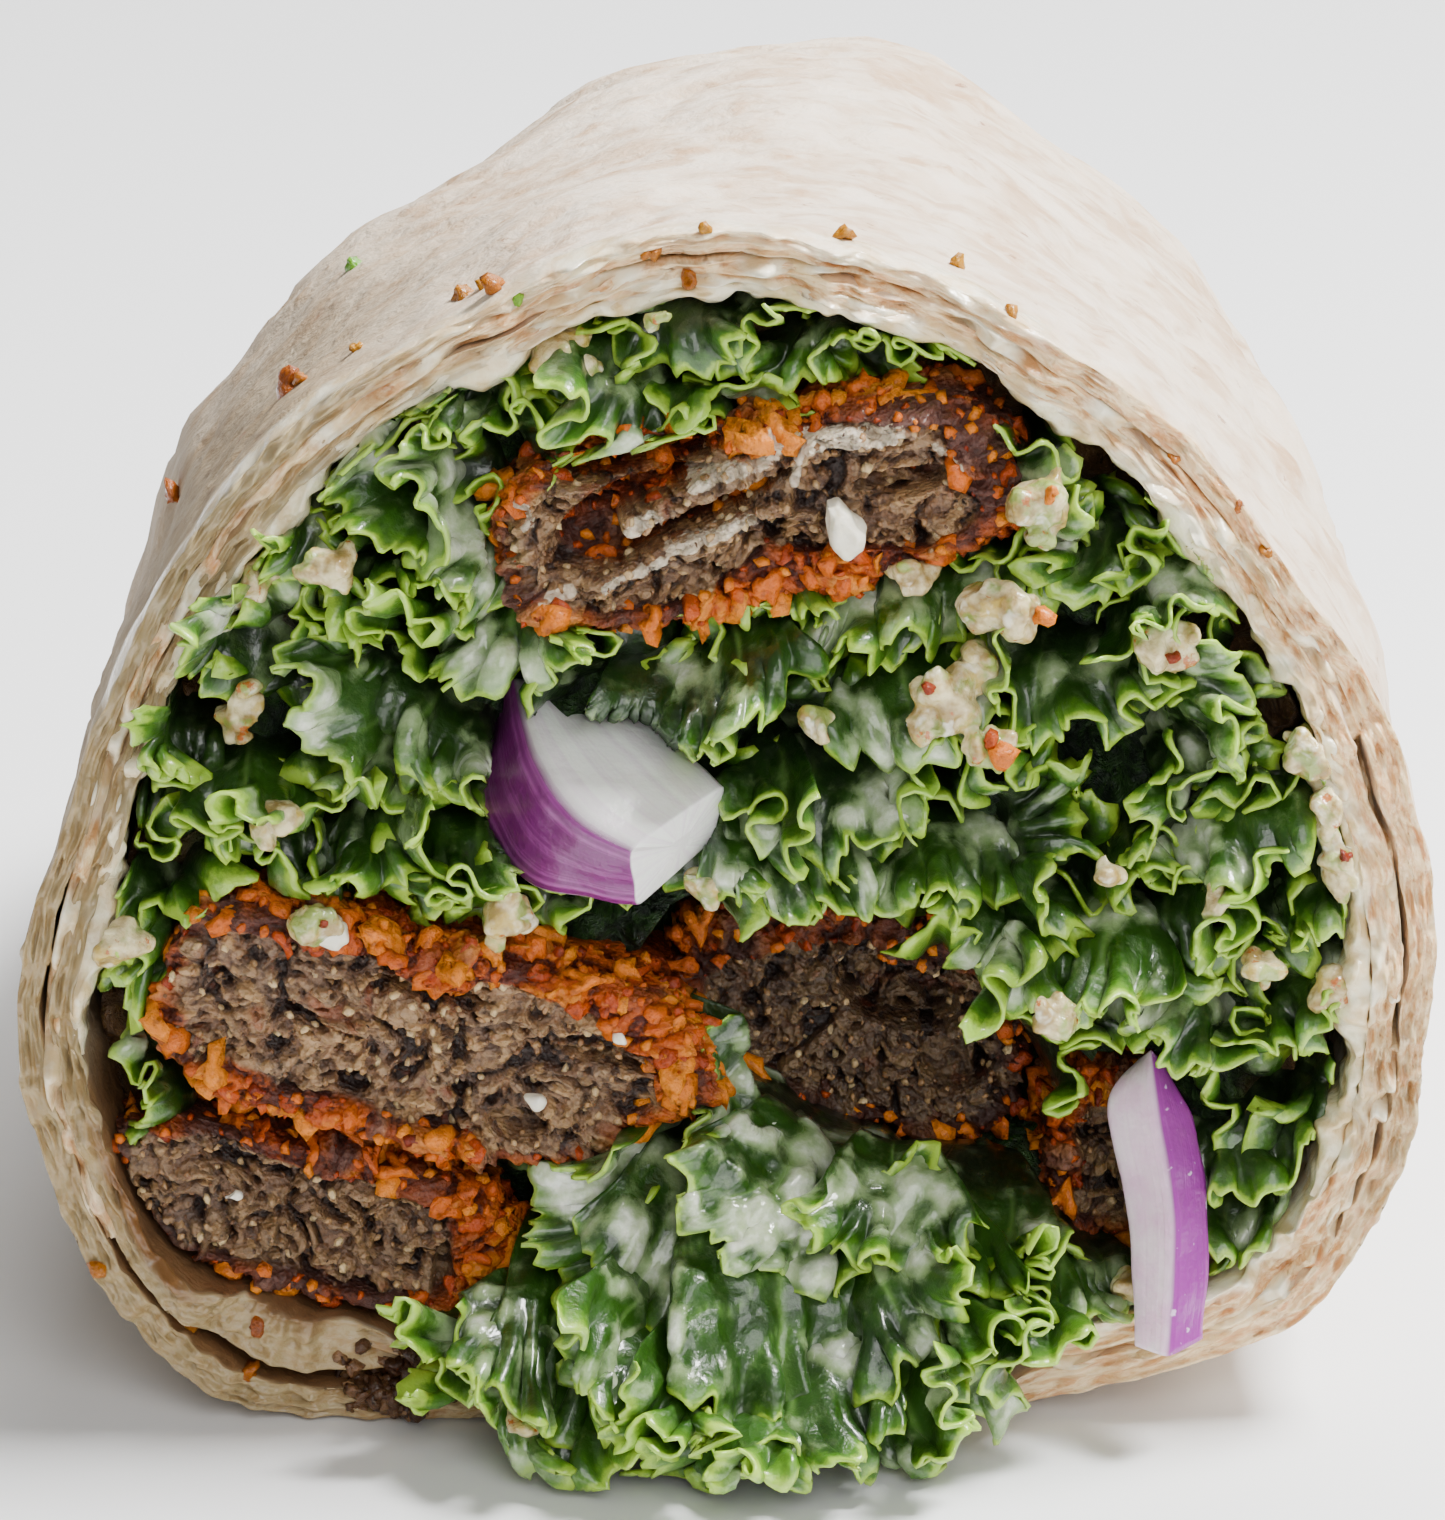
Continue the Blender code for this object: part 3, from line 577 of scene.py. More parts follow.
class Finish:
    """A material's nodes, with a short call for each kind. Sizes and depths are in millimetres."""

    def __init__(self, name):
        self.material = bpy.data.materials.new(name)
        self.material.use_nodes = True
        self.tree = self.material.node_tree
        self.shader = self.tree.nodes["Principled BSDF"]
        self.coordinates = self.tree.nodes.new("ShaderNodeTexCoord").outputs["Object"]

    def node(self, kind, inputs=(), **settings):
        return add_node(self.tree, "ShaderNode" + kind, inputs, **settings)

    def set(self, **values):
        for key, value in values.items():
            fill(self.tree, self.shader.inputs[key.replace("_", " ")], value)

    def soft(self, share, colours, depth):
        """Light that sinks in: its share, how far each colour goes, and the depth."""
        self.set(Subsurface_Weight=share, Subsurface_Radius=colours, Subsurface_Scale=depth * MM)

    def coat(self, share, roughness):
        self.set(Coat_Weight=share, Coat_Roughness=roughness)

    def attributes(self, *names):
        return [self.node("Attribute", attribute_name=name)["Fac"] for name in names]

    def noise(self, size, detail=3.0, rough=0.55, twist=0.0, vector=None):
        """Smooth noise with features of that size."""
        inputs = {"Vector": vector or self.coordinates, "Scale": 1 / (size * MM), "Detail": detail}
        return self.node("TexNoise", {**inputs, "Roughness": rough, "Distortion": twist})["Fac"]

    def cells(self, size):
        return self.node("TexVoronoi", {"Vector": self.coordinates, "Scale": 1 / (size * MM)})["Distance"]

    def between(self, value, low, high, out_low=0.0, out_high=1.0):
        inputs = {"Value": value, "From Min": low, "From Max": high, "To Min": out_low, "To Max": out_high}
        return self.node("MapRange", inputs, interpolation_type="SMOOTHSTEP")["Result"]

    def math(self, operation, a, b):
        return self.node("Math", {0: a, 1: b}, operation=operation)[0]

    def plus(self, a, b):
        return self.math("ADD", a, b)

    def times(self, a, b):
        return self.math("MULTIPLY", a, b)

    def about(self, value, middle, times):
        """How far a value lies above a middle, times that."""
        return self.times(self.math("SUBTRACT", value, middle), times)

    def mix(self, share, a, b):
        return self.node("Mix", {0: share, 6: a, 7: b}, data_type="RGBA")[2]

    def patches(self, colour, other, where, low, high, most=1.0):
        """Another colour where a value goes from low to high, up to that share."""
        return self.mix(self.between(where, low, high, 0.0, most), colour, other)

    def bump(self, height, depth, strength=1.0):
        """Relief of that depth."""
        inputs = {"Height": height, "Distance": depth * MM, "Strength": strength}
        self.set(Normal=self.node("Bump", inputs)["Normal"])


def flatbread_finish():
    """Floury wheat flatbread with toasted mottles, a flaky pale brown cut and smears of dressing. Where the
    attribute toasted is high the colour darkens, partly as toasting and partly as painted shade on the left
    side and in the far end's pleats.
    """
    f = Finish("toasted_flatbread")
    cut, dressing, along, through, toasted, soaked = f.attributes(*BREAD_VALUES)
    broad, middle, fine = f.noise(9, 3, 0.6, 0.3), f.noise(3.0, 4, 0.65, 0.5), f.noise(0.6, 4, 0.7)
    colour = f.patches((0.75, 0.61, 0.47), (0.58, 0.41, 0.27), broad, 0.40, 0.62)
    colour = f.patches(colour, (0.46, 0.29, 0.17), middle, 0.50, 0.70, 0.75)
    colour = f.patches(colour, (0.79, 0.69, 0.57), f.noise(2.6, 3, 0.55), 0.42, 0.62, 0.55)
    griddled = f.times(f.between(f.noise(6.0, 3, 0.6), 0.52, 0.68), f.between(middle, 0.42, 0.64))
    colour = f.mix(f.times(griddled, 0.6), colour, (0.52, 0.31, 0.155))
    # Painted shade with toasting: the outside darkens towards brown on its left side and in the pleats.
    colour = f.mix(f.times(toasted, 0.88), colour, (0.27, 0.190, 0.092))
    scorched = f.times(f.between(f.noise(2.3, 5, 0.72), 0.46, 0.74), toasted)
    scorched = f.times(scorched, f.between(broad, 0.36, 0.62, 0.45, 1.0))
    colour = f.mix(scorched, colour, (0.13, 0.066, 0.026))
    floured = f.times(f.between(f.noise(2.0, 4, 0.6), 0.5, 0.75), toasted)
    colour = f.mix(f.times(floured, 0.5), colour, (0.56, 0.45, 0.31))
    spots = f.times(f.between(f.noise(1.6, 4, 0.7), 0.63, 0.72), f.between(broad, 0.38, 0.55))
    colour = f.mix(f.times(spots, 0.8), colour, (0.27, 0.115, 0.045))
    colour = f.patches(colour, (0.36, 0.19, 0.09), fine, 0.66, 0.74, 0.5)

    layers = f.node("CombineXYZ", {"X": along, "Y": through})["Vector"]
    fine_layers, streaks = f.noise(0.5, 4, 0.7, 0.6, layers), f.noise(0.8, 3, 0.6, 0.5, layers)
    crumb = f.patches((0.62, 0.32, 0.125), (0.87, 0.66, 0.385), fine_layers, 0.36, 0.6)
    crumb = f.patches(crumb, (0.50, 0.19, 0.055), streaks, 0.54, 0.68, 0.7)
    crumb = f.patches(crumb, (0.24, 0.11, 0.045), f.noise(0.3, 2, vector=layers), 0.64, 0.72, 0.7)
    colour = f.mix(cut, colour, crumb)
    cream = f.patches((0.74, 0.56, 0.31), (0.90, 0.83, 0.64), f.noise(1.6, 3), 0.35, 0.65)
    colour = f.mix(dressing, colour, cream)
    # Painted shade: the cut edge darkens towards brown on the left side.
    colour = f.mix(f.times(f.times(toasted, cut), 0.85), colour, (0.26, 0.195, 0.088))
    # Painted shade with juice stain: dark brown on the inner side and the cut at the lower left.
    colour = f.mix(soaked, colour, f.mix(middle, (0.07, 0.028, 0.008), (0.30, 0.15, 0.055)))

    height = f.plus(f.times(middle, 0.8), f.times(fine, 0.2))
    height = f.plus(height, f.times(f.noise(1.2, 3, 0.6, 0.4), 0.5))
    wet = f.math("MAXIMUM", dressing, f.times(cut, 0.6))
    f.set(Base_Color=colour, Roughness=f.between(wet, 0.0, 0.8, 0.7, 0.18))
    f.bump(height, 0.5, f.between(dressing, 0.0, 1.0, 0.7, 0.3))
    f.soft(0.12, (1.0, 0.7, 0.45), 1.2)
    return f.material


def kale_finish():
    """Near-black green deep in the heap as painted shade, mid green on the leaf, a thin bright margin that is
    partly a paler edge and partly a painted highlight, and milky dressing that dims deep in the heap as
    painted shade.
    """
    f = Finish("dressed_kale")
    edge, film, vein, tone, deep = f.attributes(*LEAF_VALUES)
    body = f.patches((0.006, 0.024, 0.002), (0.017, 0.062, 0.004), f.noise(2.2, 3), 0.35, 0.7)
    body = f.mix(tone, body, (0.026, 0.090, 0.006))
    body = f.mix(f.times(vein, 0.6), body, (0.15, 0.30, 0.06))
    # Painted shade: the leaf turns near-black where it lies deeper behind the cut.
    body = f.mix(deep, body, (0.004, 0.010, 0.002))
    edge = f.plus(edge, f.about(f.noise(0.9, 4, 0.7), 0.48, 0.9))
    near = f.mix(tone, (0.042, 0.135, 0.007), (0.100, 0.235, 0.012))
    # A painted highlight along the outermost margin, over the margin's paler green.
    rim = f.mix(f.noise(1.4, 2), (0.22, 0.43, 0.022), (0.44, 0.62, 0.07))
    colour = f.patches(f.patches(body, near, edge, 0.08, 0.6), rim, edge, 0.52, 0.95)

    patchy = f.plus(film, f.about(f.noise(1.0, 5, 0.65), 0.5, 1.1))
    # Painted shade: the dressing shows less where the leaf lies deeper behind the cut.
    wet = f.between(deep, 0.0, 1.0, 1.0, 0.4)
    colour = f.mix(f.times(f.between(patchy, 0.0, 0.65, 0.0, 0.78), wet), colour, (0.31, 0.42, 0.20))
    cream = f.patches((0.60, 0.66, 0.46), (0.90, 0.91, 0.82), f.noise(1.3, 4, 0.6), 0.4, 0.65)
    colour = f.mix(f.times(f.between(patchy, 0.5, 1.3, 0.0, 0.9), wet), colour, cream)
    crinkle = f.plus(f.times(f.noise(0.7, 4, 0.6), 1.2), f.times(vein, -0.5))
    f.set(Base_Color=colour, Roughness=f.between(film, 0.0, 0.6, 0.34, 0.14))
    f.bump(crinkle, 0.14, f.between(film, 0.0, 0.6, 0.8, 0.4))
    f.soft(0.2, (0.5, 1.0, 0.25), 0.6)
    f.coat(0.45, 0.06)
    return f.material


def heap_core_finish():
    """Dark leaf deep in the heap, and painted warm brown shade on bread wet with juice near the wall."""
    f = Finish("deep_kale")
    leaf = f.patches((0.004, 0.012, 0.003), (0.02, 0.062, 0.008), f.noise(1.8, 4, 0.7, 1.5), 0.4, 0.65)
    # Painted shade: warm dark brown where the core meets the flatbread.
    soaked = f.mix(f.noise(1.5, 3), (0.030, 0.012, 0.003), (0.15, 0.070, 0.018))
    f.set(Base_Color=f.mix(*f.attributes("wall"), leaf, soaked), Roughness=0.45)
    f.bump(f.noise(1.4, 4, 0.7, 1.5), 1.2)
    return f.material


def patty_finish():
    """Brown grainy inside where the attribute crust is 0, fried crumb where it is 1, with painted shade in
    every dip and painted light on every top, and painted shade where the attribute shade is high.
    """
    f = Finish("crumbed_patty")
    crust, brown, grain, shade, smear, rise = f.attributes(*STRIP_VALUES)
    # The relief's height paints shade into the dips and light onto the tops.
    uneven = f.plus(rise, f.about(f.noise(0.3, 4, 0.7), 0.5, 0.7))
    meat = f.patches((0.080, 0.034, 0.016), (0.26, 0.128, 0.054), f.noise(0.7, 4, 0.7), 0.3, 0.7)
    meat = f.patches(meat, (0.12, 0.072, 0.048), f.noise(3.0, 3), 0.45, 0.62, 0.7)
    meat = f.patches(meat, (0.44, 0.25, 0.10), grain, 0.72, 0.92, 0.8)
    meat = f.patches(meat, (0.46, 0.29, 0.14), uneven, 0.5, 0.95, 0.5)
    meat = f.patches((0.022, 0.008, 0.004), meat, uneven, 0.06, 0.46)
    meat = f.patches(meat, (0.28, 0.06, 0.018), f.noise(2.2, 2), 0.62, 0.72, 0.5)
    fried = f.mix(f.noise(0.9, 4, 0.65), (0.34, 0.034, 0.001), (0.60, 0.125, 0.002))
    fried = f.patches(fried, (0.68, 0.20, 0.006), grain, 0.55, 0.9, 0.7)
    fried = f.patches(fried, (0.38, 0.020, 0.001), f.noise(2.6, 3), 0.55, 0.7, 0.6)
    fried = f.patches(fried, (0.76, 0.28, 0.022), uneven, 0.55, 0.95, 0.6)
    fried = f.patches((0.060, 0.006, 0.001), fried, uneven, 0.1, 0.46)
    dark = f.mix(f.noise(0.8, 3, 0.7), (0.030, 0.010, 0.007), (0.16, 0.060, 0.042))
    dark = f.patches(dark, (0.38, 0.18, 0.12), uneven, 0.5, 0.95, 0.5)
    colour = f.mix(crust, meat, f.mix(brown, fried, dark))
    # Painted shade in torn hollows and on strips deep in the roll.
    colour = f.mix(shade, colour, (0.008, 0.003, 0.001))
    patchy = f.plus(smear, f.about(f.noise(0.55, 3, 0.6), 0.5, 2.2))
    patchy = f.times(f.between(patchy, 0.5, 0.85), f.between(smear, 0.0, 0.2))
    colour = f.mix(patchy, colour, f.mix(f.noise(0.8, 3), (0.50, 0.35, 0.20), (0.86, 0.79, 0.64)))
    f.set(Base_Color=colour, Roughness=f.between(crust, 0.0, 1.0, 0.3, 0.42))
    f.set(Specular_IOR_Level=f.between(crust, 0.0, 1.0, 0.6, 0.28))
    f.bump(f.plus(f.noise(0.3, 4, 0.75), f.cells(0.32)), 0.22, 0.9)
    f.soft(0.06, (1.0, 0.35, 0.1), 0.6)
    f.coat(0.12, 0.12)
    return f.material


def crumb_finish(name, stops, roughness, gloss):
    """Colour that goes with the attribute tint, through even stops."""
    f = Finish(name)
    (tint,) = f.attributes("tint")
    colour, last = stops[0], len(stops) - 1
    for i, stop in enumerate(stops[1:]):
        colour = f.patches(colour, stop, tint, i / last, (i + 1) / last)
    colour = f.patches(colour, tuple(0.35 * c for c in stops[0]), f.noise(0.5, 3, 0.6), 0.48, 0.7, 0.5)
    f.set(Base_Color=colour, Roughness=roughness, Specular_IOR_Level=0.3)
    f.bump(f.noise(0.3, 3, 0.6), 0.2)
    f.soft(0.12, (1.0, 0.5, 0.2), 0.8)
    f.coat(gloss, 0.15)
    return f.material


def dressing_finish():
    """Glossy cream, a little yellower where it is thick, with fine bits in it."""
    f = Finish("creamy_dressing")
    colour = f.patches((0.74, 0.55, 0.29), (0.89, 0.80, 0.57), f.noise(1.6, 3), 0.35, 0.65)
    colour = f.patches(colour, (0.40, 0.24, 0.08), f.noise(0.35, 3, 0.6), 0.68, 0.74, 0.7)
    f.set(Base_Color=colour, Roughness=0.2)
    f.bump(f.noise(0.5, 3, 0.6), 0.12)
    f.soft(0.3, (1.0, 0.8, 0.5), 1.2)
    f.coat(0.4, 0.08)
    return f.material


def clot_finish():
    """Cream with patches of yellow nut, pale green and red-brown crumb."""
    f = Finish("chopped_nut_in_cream")
    colour = f.patches((0.34, 0.23, 0.075), (0.76, 0.66, 0.38), f.noise(1.3, 3), 0.35, 0.65)
    colour = f.patches(colour, (0.52, 0.37, 0.075), f.noise(1.5, 3, 0.6), 0.54, 0.66, 0.75)
    colour = f.patches(colour, (0.22, 0.33, 0.06), f.noise(2.0, 3, 0.6), 0.5, 0.62, 0.8)
    colour = f.patches(colour, (0.42, 0.10, 0.010), f.noise(1.2, 4, 0.65), 0.61, 0.67, 0.9)
    colour = f.patches(colour, (0.86, 0.84, 0.70), f.noise(1.8, 3, 0.6, 0.4), 0.58, 0.68, 0.7)
    f.set(Base_Color=colour, Roughness=0.22)
    f.bump(f.noise(0.45, 3, 0.6), 0.15)
    f.soft(0.35, (1.0, 0.75, 0.4), 1.2)
    f.coat(0.4, 0.07)
    return f.material


def cheese_finish():
    f = Finish("white_cheese")
    f.set(Base_Color=f.mix(f.noise(0.9, 3), (0.80, 0.72, 0.50), (0.90, 0.88, 0.78)), Roughness=0.28)
    f.bump(f.noise(0.4, 3), 0.08)
    f.soft(0.3, (1.0, 0.85, 0.6), 1.0)
    f.coat(0.25, 0.1)
    return f.material


def onion_finish():
    """Purple where the attribute skin is 1, white flesh with lengthwise lines where it is 0."""
    f = Finish("red_onion")
    skin_share, line, blush = f.attributes(*ONION_VALUES)
    streak = f.node("TexNoise", {"W": line, "Scale": 9.0, "Detail": 3.0}, noise_dimensions="1D")["Fac"]
    cloud = f.noise(1.6, 3)
    purple = f.patches((0.17, 0.016, 0.145), (0.34, 0.075, 0.30), streak, 0.45, 0.75)
    purple = f.patches(purple, (0.10, 0.008, 0.08), cloud, 0.6, 0.8, 0.5)
    purple = f.mix(f.times(blush, 0.85), purple, (0.29, 0.030, 0.30))
    glints = f.times(f.between(f.noise(0.8, 2), 0.66, 0.72), blush)
    purple = f.mix(f.times(glints, 0.8), purple, (0.80, 0.66, 0.84))
    white = f.patches((0.93, 0.93, 0.89), (0.85, 0.78, 0.82), streak, 0.4, 0.7)
    white = f.mix(f.times(blush, f.between(cloud, 0.3, 0.7, 0.5, 0.9)), white, (0.76, 0.45, 0.66))
    f.set(Base_Color=f.mix(skin_share, white, purple), Roughness=0.3)
    f.bump(f.plus(f.times(streak, 0.5), f.noise(0.6, 2)), 0.12, 0.7)
    f.soft(0.35, (1.0, 0.7, 0.9), 1.5)
    f.coat(0.3, 0.1)
    return f.material


# ---------------------------------------------------------------- flatbread

FINE, HALF, COARSE = 1, 2, 4  # column strides of the rolled sheet's rows, from the cut backwards
CUT_ROWS = 22
ROLL_STRETCH = 230.0  # millimetres of sheet in a turn, near enough
GRAIN_STRETCH = 0.3  # of the crumb's pattern along the sheet
SEAM_OPENINGS = ((0.155, 0.162, 0.168, 0.176), (0.212, 0.222, 0.238, 0.25))  # where the seam parts and closes
PLEATS = 7
PLEAT_DEPTH = 2.6


def edge_line(turn):
    """How far the cut edge wanders from the cut's plane, along the sheet."""
    along = turn * ROLL_STRETCH
    ragged = waves((along,), 1.3, 31) * 0.12 + waves((along,), 6.0, 32) * 0.36
    return 0.45 * np.sin(13 * turn) + 0.3 * np.sin(31 * turn) + ragged


def wrinkled(flat, y):
    """Outward shift of the sheet from its soft wrinkles and blisters."""
    points = at_depth(flat, y) * (1.0, 0.7, 1.0)
    broad = waves(points, 9.0, 41) * 0.34
    creases = -0.34 * np.exp(-((waves(points * (1.0, 0.45, 1.0), 5.0, 42) / 0.16) ** 2))
    folds = -0.22 * np.exp(-((waves(points * (0.5, 1.0, 0.5), 3.4, 44) / 0.14) ** 2))
    blisters = waves(points, 2.0, 43) * 0.09
    return (broad + (creases + folds) * ramp(y, 1.5, 8) + blisters) * ramp(flat[:, 1], 0.6, 5.0)


def toast_and_side_shade(x, y, z):
    """How much the outside is darkened, as toasting and as painted shade: most near the cut's left side, and
    a little at its lower right.
    """
    side = np.maximum(ramp(-x, 5, 25), 0.7 * ramp(x, 30, 36) * (1 - ramp(z, 14, 30)))
    return side * (1 - 0.6 * ramp(y, 12, 48))


def flakes(along, share):
    """Relief of the cut edge: thin layers that jut out unevenly, with pores between them."""
    bent = share * 5.2 + 0.55 * waves((along,), 8.0, 52)
    layer = np.floor(bent)
    jut = waves((along * 0.4, layer * 7.7), 2.4, 53) * 0.09
    parted = -0.28 * np.exp(-(((bent - layer - 0.5) / 0.16) ** 2)) * ramp(waves((along,), 3.0, 58), 0.2, 1.0)
    pores = -0.4 * ramp(waves((along * 0.4, share * 2.2), 0.6, 54), 0.6, 1.1)
    return jut + parted + pores + 0.1 * waves((along, share * 4.0), 0.7, 51)


def sheet_rows():
    """The rolled sheet's rows: column stride, depth behind the cut and share of the way through the sheet."""
    rows = [(COARSE, DOME_EDGE + LAP, 0.2)]
    rows += [(COARSE, y, 0.0) for y in np.linspace(DOME_EDGE, 9.0, 42)]
    rows += [(HALF, y, 0.0) for y in (7.4, 6.0, 4.7, 3.6, 2.6)]
    rows += [(FINE, y, 0.0) for y in (1.7, 1.0, 0.5, 0.2)]
    rows += [(FINE, 0.0, r) for r in np.linspace(0.03, 0.97, CUT_ROWS)]
    rows += [(FINE, y, 1.0) for y in (0.2, 0.5, 1.0, 1.7)]
    rows += [(HALF, y, 1.0) for y in (2.6, 4.0, 6.0)]
    return rows + [(COARSE, y, 1.0) for y in (9.0, 14.0, 22.0, 34.0, 48.0, DOME_EDGE)]


def sheet_soak_and_shade(turn, flat, y, r):
    """How much juice stain and painted shade the sheet carries: on its inner side at the lower left, and in
    stains on the cut there.
    """
    x, z = flat[:, 0], flat[:, 1]
    inside = ramp(-x, 2, 10) * (1 - ramp(z, 16, 26)) * (r == 1) * ramp(y, 0.0, 0.6)
    stained = ramp(-x, 26, 28.5) * rise_and_fall(z, 5, 8, 13, 20) * ramp(r, 0.3, 0.8)
    uneven = ramp(waves((turn * ROLL_STRETCH,), 5.0, 48), -0.9, 0.5)
    stained = np.maximum(stained, 0.75 * ramp(r, 0.6, 1.0) * flap(turn) * uneven)
    return np.maximum(inside, stained * (y <= 0.2) * (turn > 1))


def sheet_dressing(turn, y, r, soaked):
    """How much dressing lies on the sheet: at the crown, on its inner layer and a little inside."""
    along = turn * ROLL_STRETCH
    inner_layer, off_flap = ramp(turn, 0.93, 1.0), 1 - 0.8 * flap(turn)
    crown = rise_and_fall(turn % 1.0, 0.33, 0.4, 0.58, 0.66)
    smear = ramp(waves((along * 0.5, np.full_like(along, 2.0 * r)), 2.2, 55), -0.5, 0.5)
    wet = smear * ramp(r, 0.2, 0.8) * (0.1 + 0.9 * inner_layer)
    wet = wet + crown * (1 - inner_layer) * (0.5 + 0.5 * smear) * (1 - ramp(r, 0.45, 0.8))
    wet = wet * off_flap * (y <= 1.7 or r == 1)
    if r > 0.5:
        blobs = ramp(waves((along,), 2.6, 59), -0.6, 0.6)
        wet = np.maximum(wet, ramp(r, 0.92 - 0.4 * blobs, 1.0) * inner_layer * off_flap)
    if r == 1:
        wet = np.maximum(wet, 0.85 * (1 - ramp(y, 5, 12)) * inner_layer) * (1 - soaked)
    return wet


def rolled_sheet(material):
    """The flatbread as one closed sheet: its outer side, the ragged laminated cut and its inner side."""
    turns = np.arange(ROLL_COLUMNS * COARSE + 1) / (COLUMNS_PER_TURN * COARSE)
    tapered = 0.35 + 0.65 * ramp(np.minimum(turns, ROLL_TURNS - turns), 0, 0.02)
    thickness = sheet_thickness(turns) * tapered
    edge = edge_line(turns)
    pile = Pile("flatbread_sheet", material, BREAD_VALUES)
    rows, numbers = sheet_rows(), []
    for stride, y, r in rows:
        turn, thick = turns[::stride], thickness[::stride]
        along, share = turn * ROLL_STRETCH, np.full_like(turn, r)
        flat = under_skin(turn, y, sheet_depth(turn) + r * thick)
        soaked = sheet_soak_and_shade(turn, flat, y, r)
        wet = sheet_dressing(turn, y, r, soaked)
        bulge = math.sin(math.pi * r) ** 0.5 if y == 0 else 0.0
        glaze = 0.36 + 0.24 * waves((along, 3.0 * share), 0.9, 57)
        relief = flakes(along, share) * bulge * (1 - 0.65 * wet) + glaze * wet * (y == 0)
        depth = y + edge[::stride] * (1 - ramp(y, 0.0, 8.0)) - relief
        shift = wrinkled(flat, depth) * ramp(ROLL_TURNS - turn, 0, 0.05)
        at_cut = 1 - ramp(y, 0.0, 1.2)
        nibbled = (0.09 * waves((along,), 1.4, 56) + 0.08) * at_cut * (1 if r < 0.5 else -1)
        flat = flat + outward_step(turn, y) * (shift - nibbled * (y > 0))[:, None]
        numbers.append(np.arange(len(turn)) + pile.count)
        # The toasting attribute also carries the painted shade on the left side.
        pile.add(
            at_depth(flat, depth, 0.0), cut=1.0 if y == 0 else 0.5 * at_cut, dressing=np.clip(wet, 0, 1),
            along=along * GRAIN_STRETCH * MM, through=(share * thick + y) * MM,
            toasted=toast_and_side_shade(flat[:, 0], y, flat[:, 1]), soaked=soaked,
        )  # fmt: skip
    faces = []
    strides = [stride for stride, _, _ in rows]
    for a, b, stride_a, stride_b in zip(numbers, numbers[1:], strides, strides[1:]):
        if stride_a == stride_b:
            corners = (a[:-1], a[1:], b[1:], b[:-1])
        elif stride_a > stride_b:
            corners = (a[:-1], a[1:], b[2::2], b[1::2], b[:-2:2])
        else:
            corners = (a[:-2:2], a[1::2], a[2::2], b[1:], b[:-1])
        faces += np.stack(corners, -1).tolist()
    first, last = numbers[0], numbers[-1]
    faces += np.stack([last[:-1], last[1:], first[1:], first[:-1]], -1).tolist()
    faces += [[int(row[0]) for row in numbers], [int(row[-1]) for row in numbers][::-1]]
    return pile.make(faces)


def paste_between(material):
    """Dressing and soft crumb that close the seam between the layers at the cut, but for two open places."""
    turns = np.linspace(0.02, FLAP_FROM - 1.0 - 0.005, 1500)
    along = turns * ROLL_STRETCH
    sunk_in = 0.25  # into the layers on both sides
    top = sheet_depth(turns) + sheet_thickness(turns) - sunk_in
    bottom = sheet_depth(turns + 1) + sunk_in
    opened = np.zeros_like(turns)
    for opening in SEAM_OPENINGS:
        opened = np.maximum(opened, rise_and_fall(turns, *opening))
    hollow = 0.25 * ramp(waves((along,), 2.2, 61), 0.0, 0.9) + 3.0 * opened
    wet = ramp(waves((along,), 4.0, 63), -0.4, 0.9) * (1 - opened)
    edge = edge_line(turns)
    rows = [(y, 0.0) for y in (3.0, 1.0, 0.3)] + [(0.0, r) for r in np.linspace(0.1, 0.9, 6)]
    rows += [(y, 1.0) for y in (0.3, 1.0, 3.0)]
    pile = Pile("flatbread_seam", material, BREAD_VALUES)
    for y, r in rows:
        share = np.full_like(turns, r)
        flat = under_skin(turns, y, top + (bottom - top) * share)
        relief = flakes(along + 40, share + 0.4) * math.sin(math.pi * r) * 0.6
        relief += 0.5 * waves((along, 2 * share), 1.6, 62)
        depth = np.clip(y, 0, 1) * 3.0 + hollow + edge - relief * (1 - min(y, 1))
        pile.add(
            at_depth(flat, depth, 0.05), cut=1.0, dressing=wet, along=(along + 31) * GRAIN_STRETCH * MM,
            through=r * MM,
        )  # fmt: skip
    return outward_faces(pile.make(band_faces(len(rows), len(turns))))


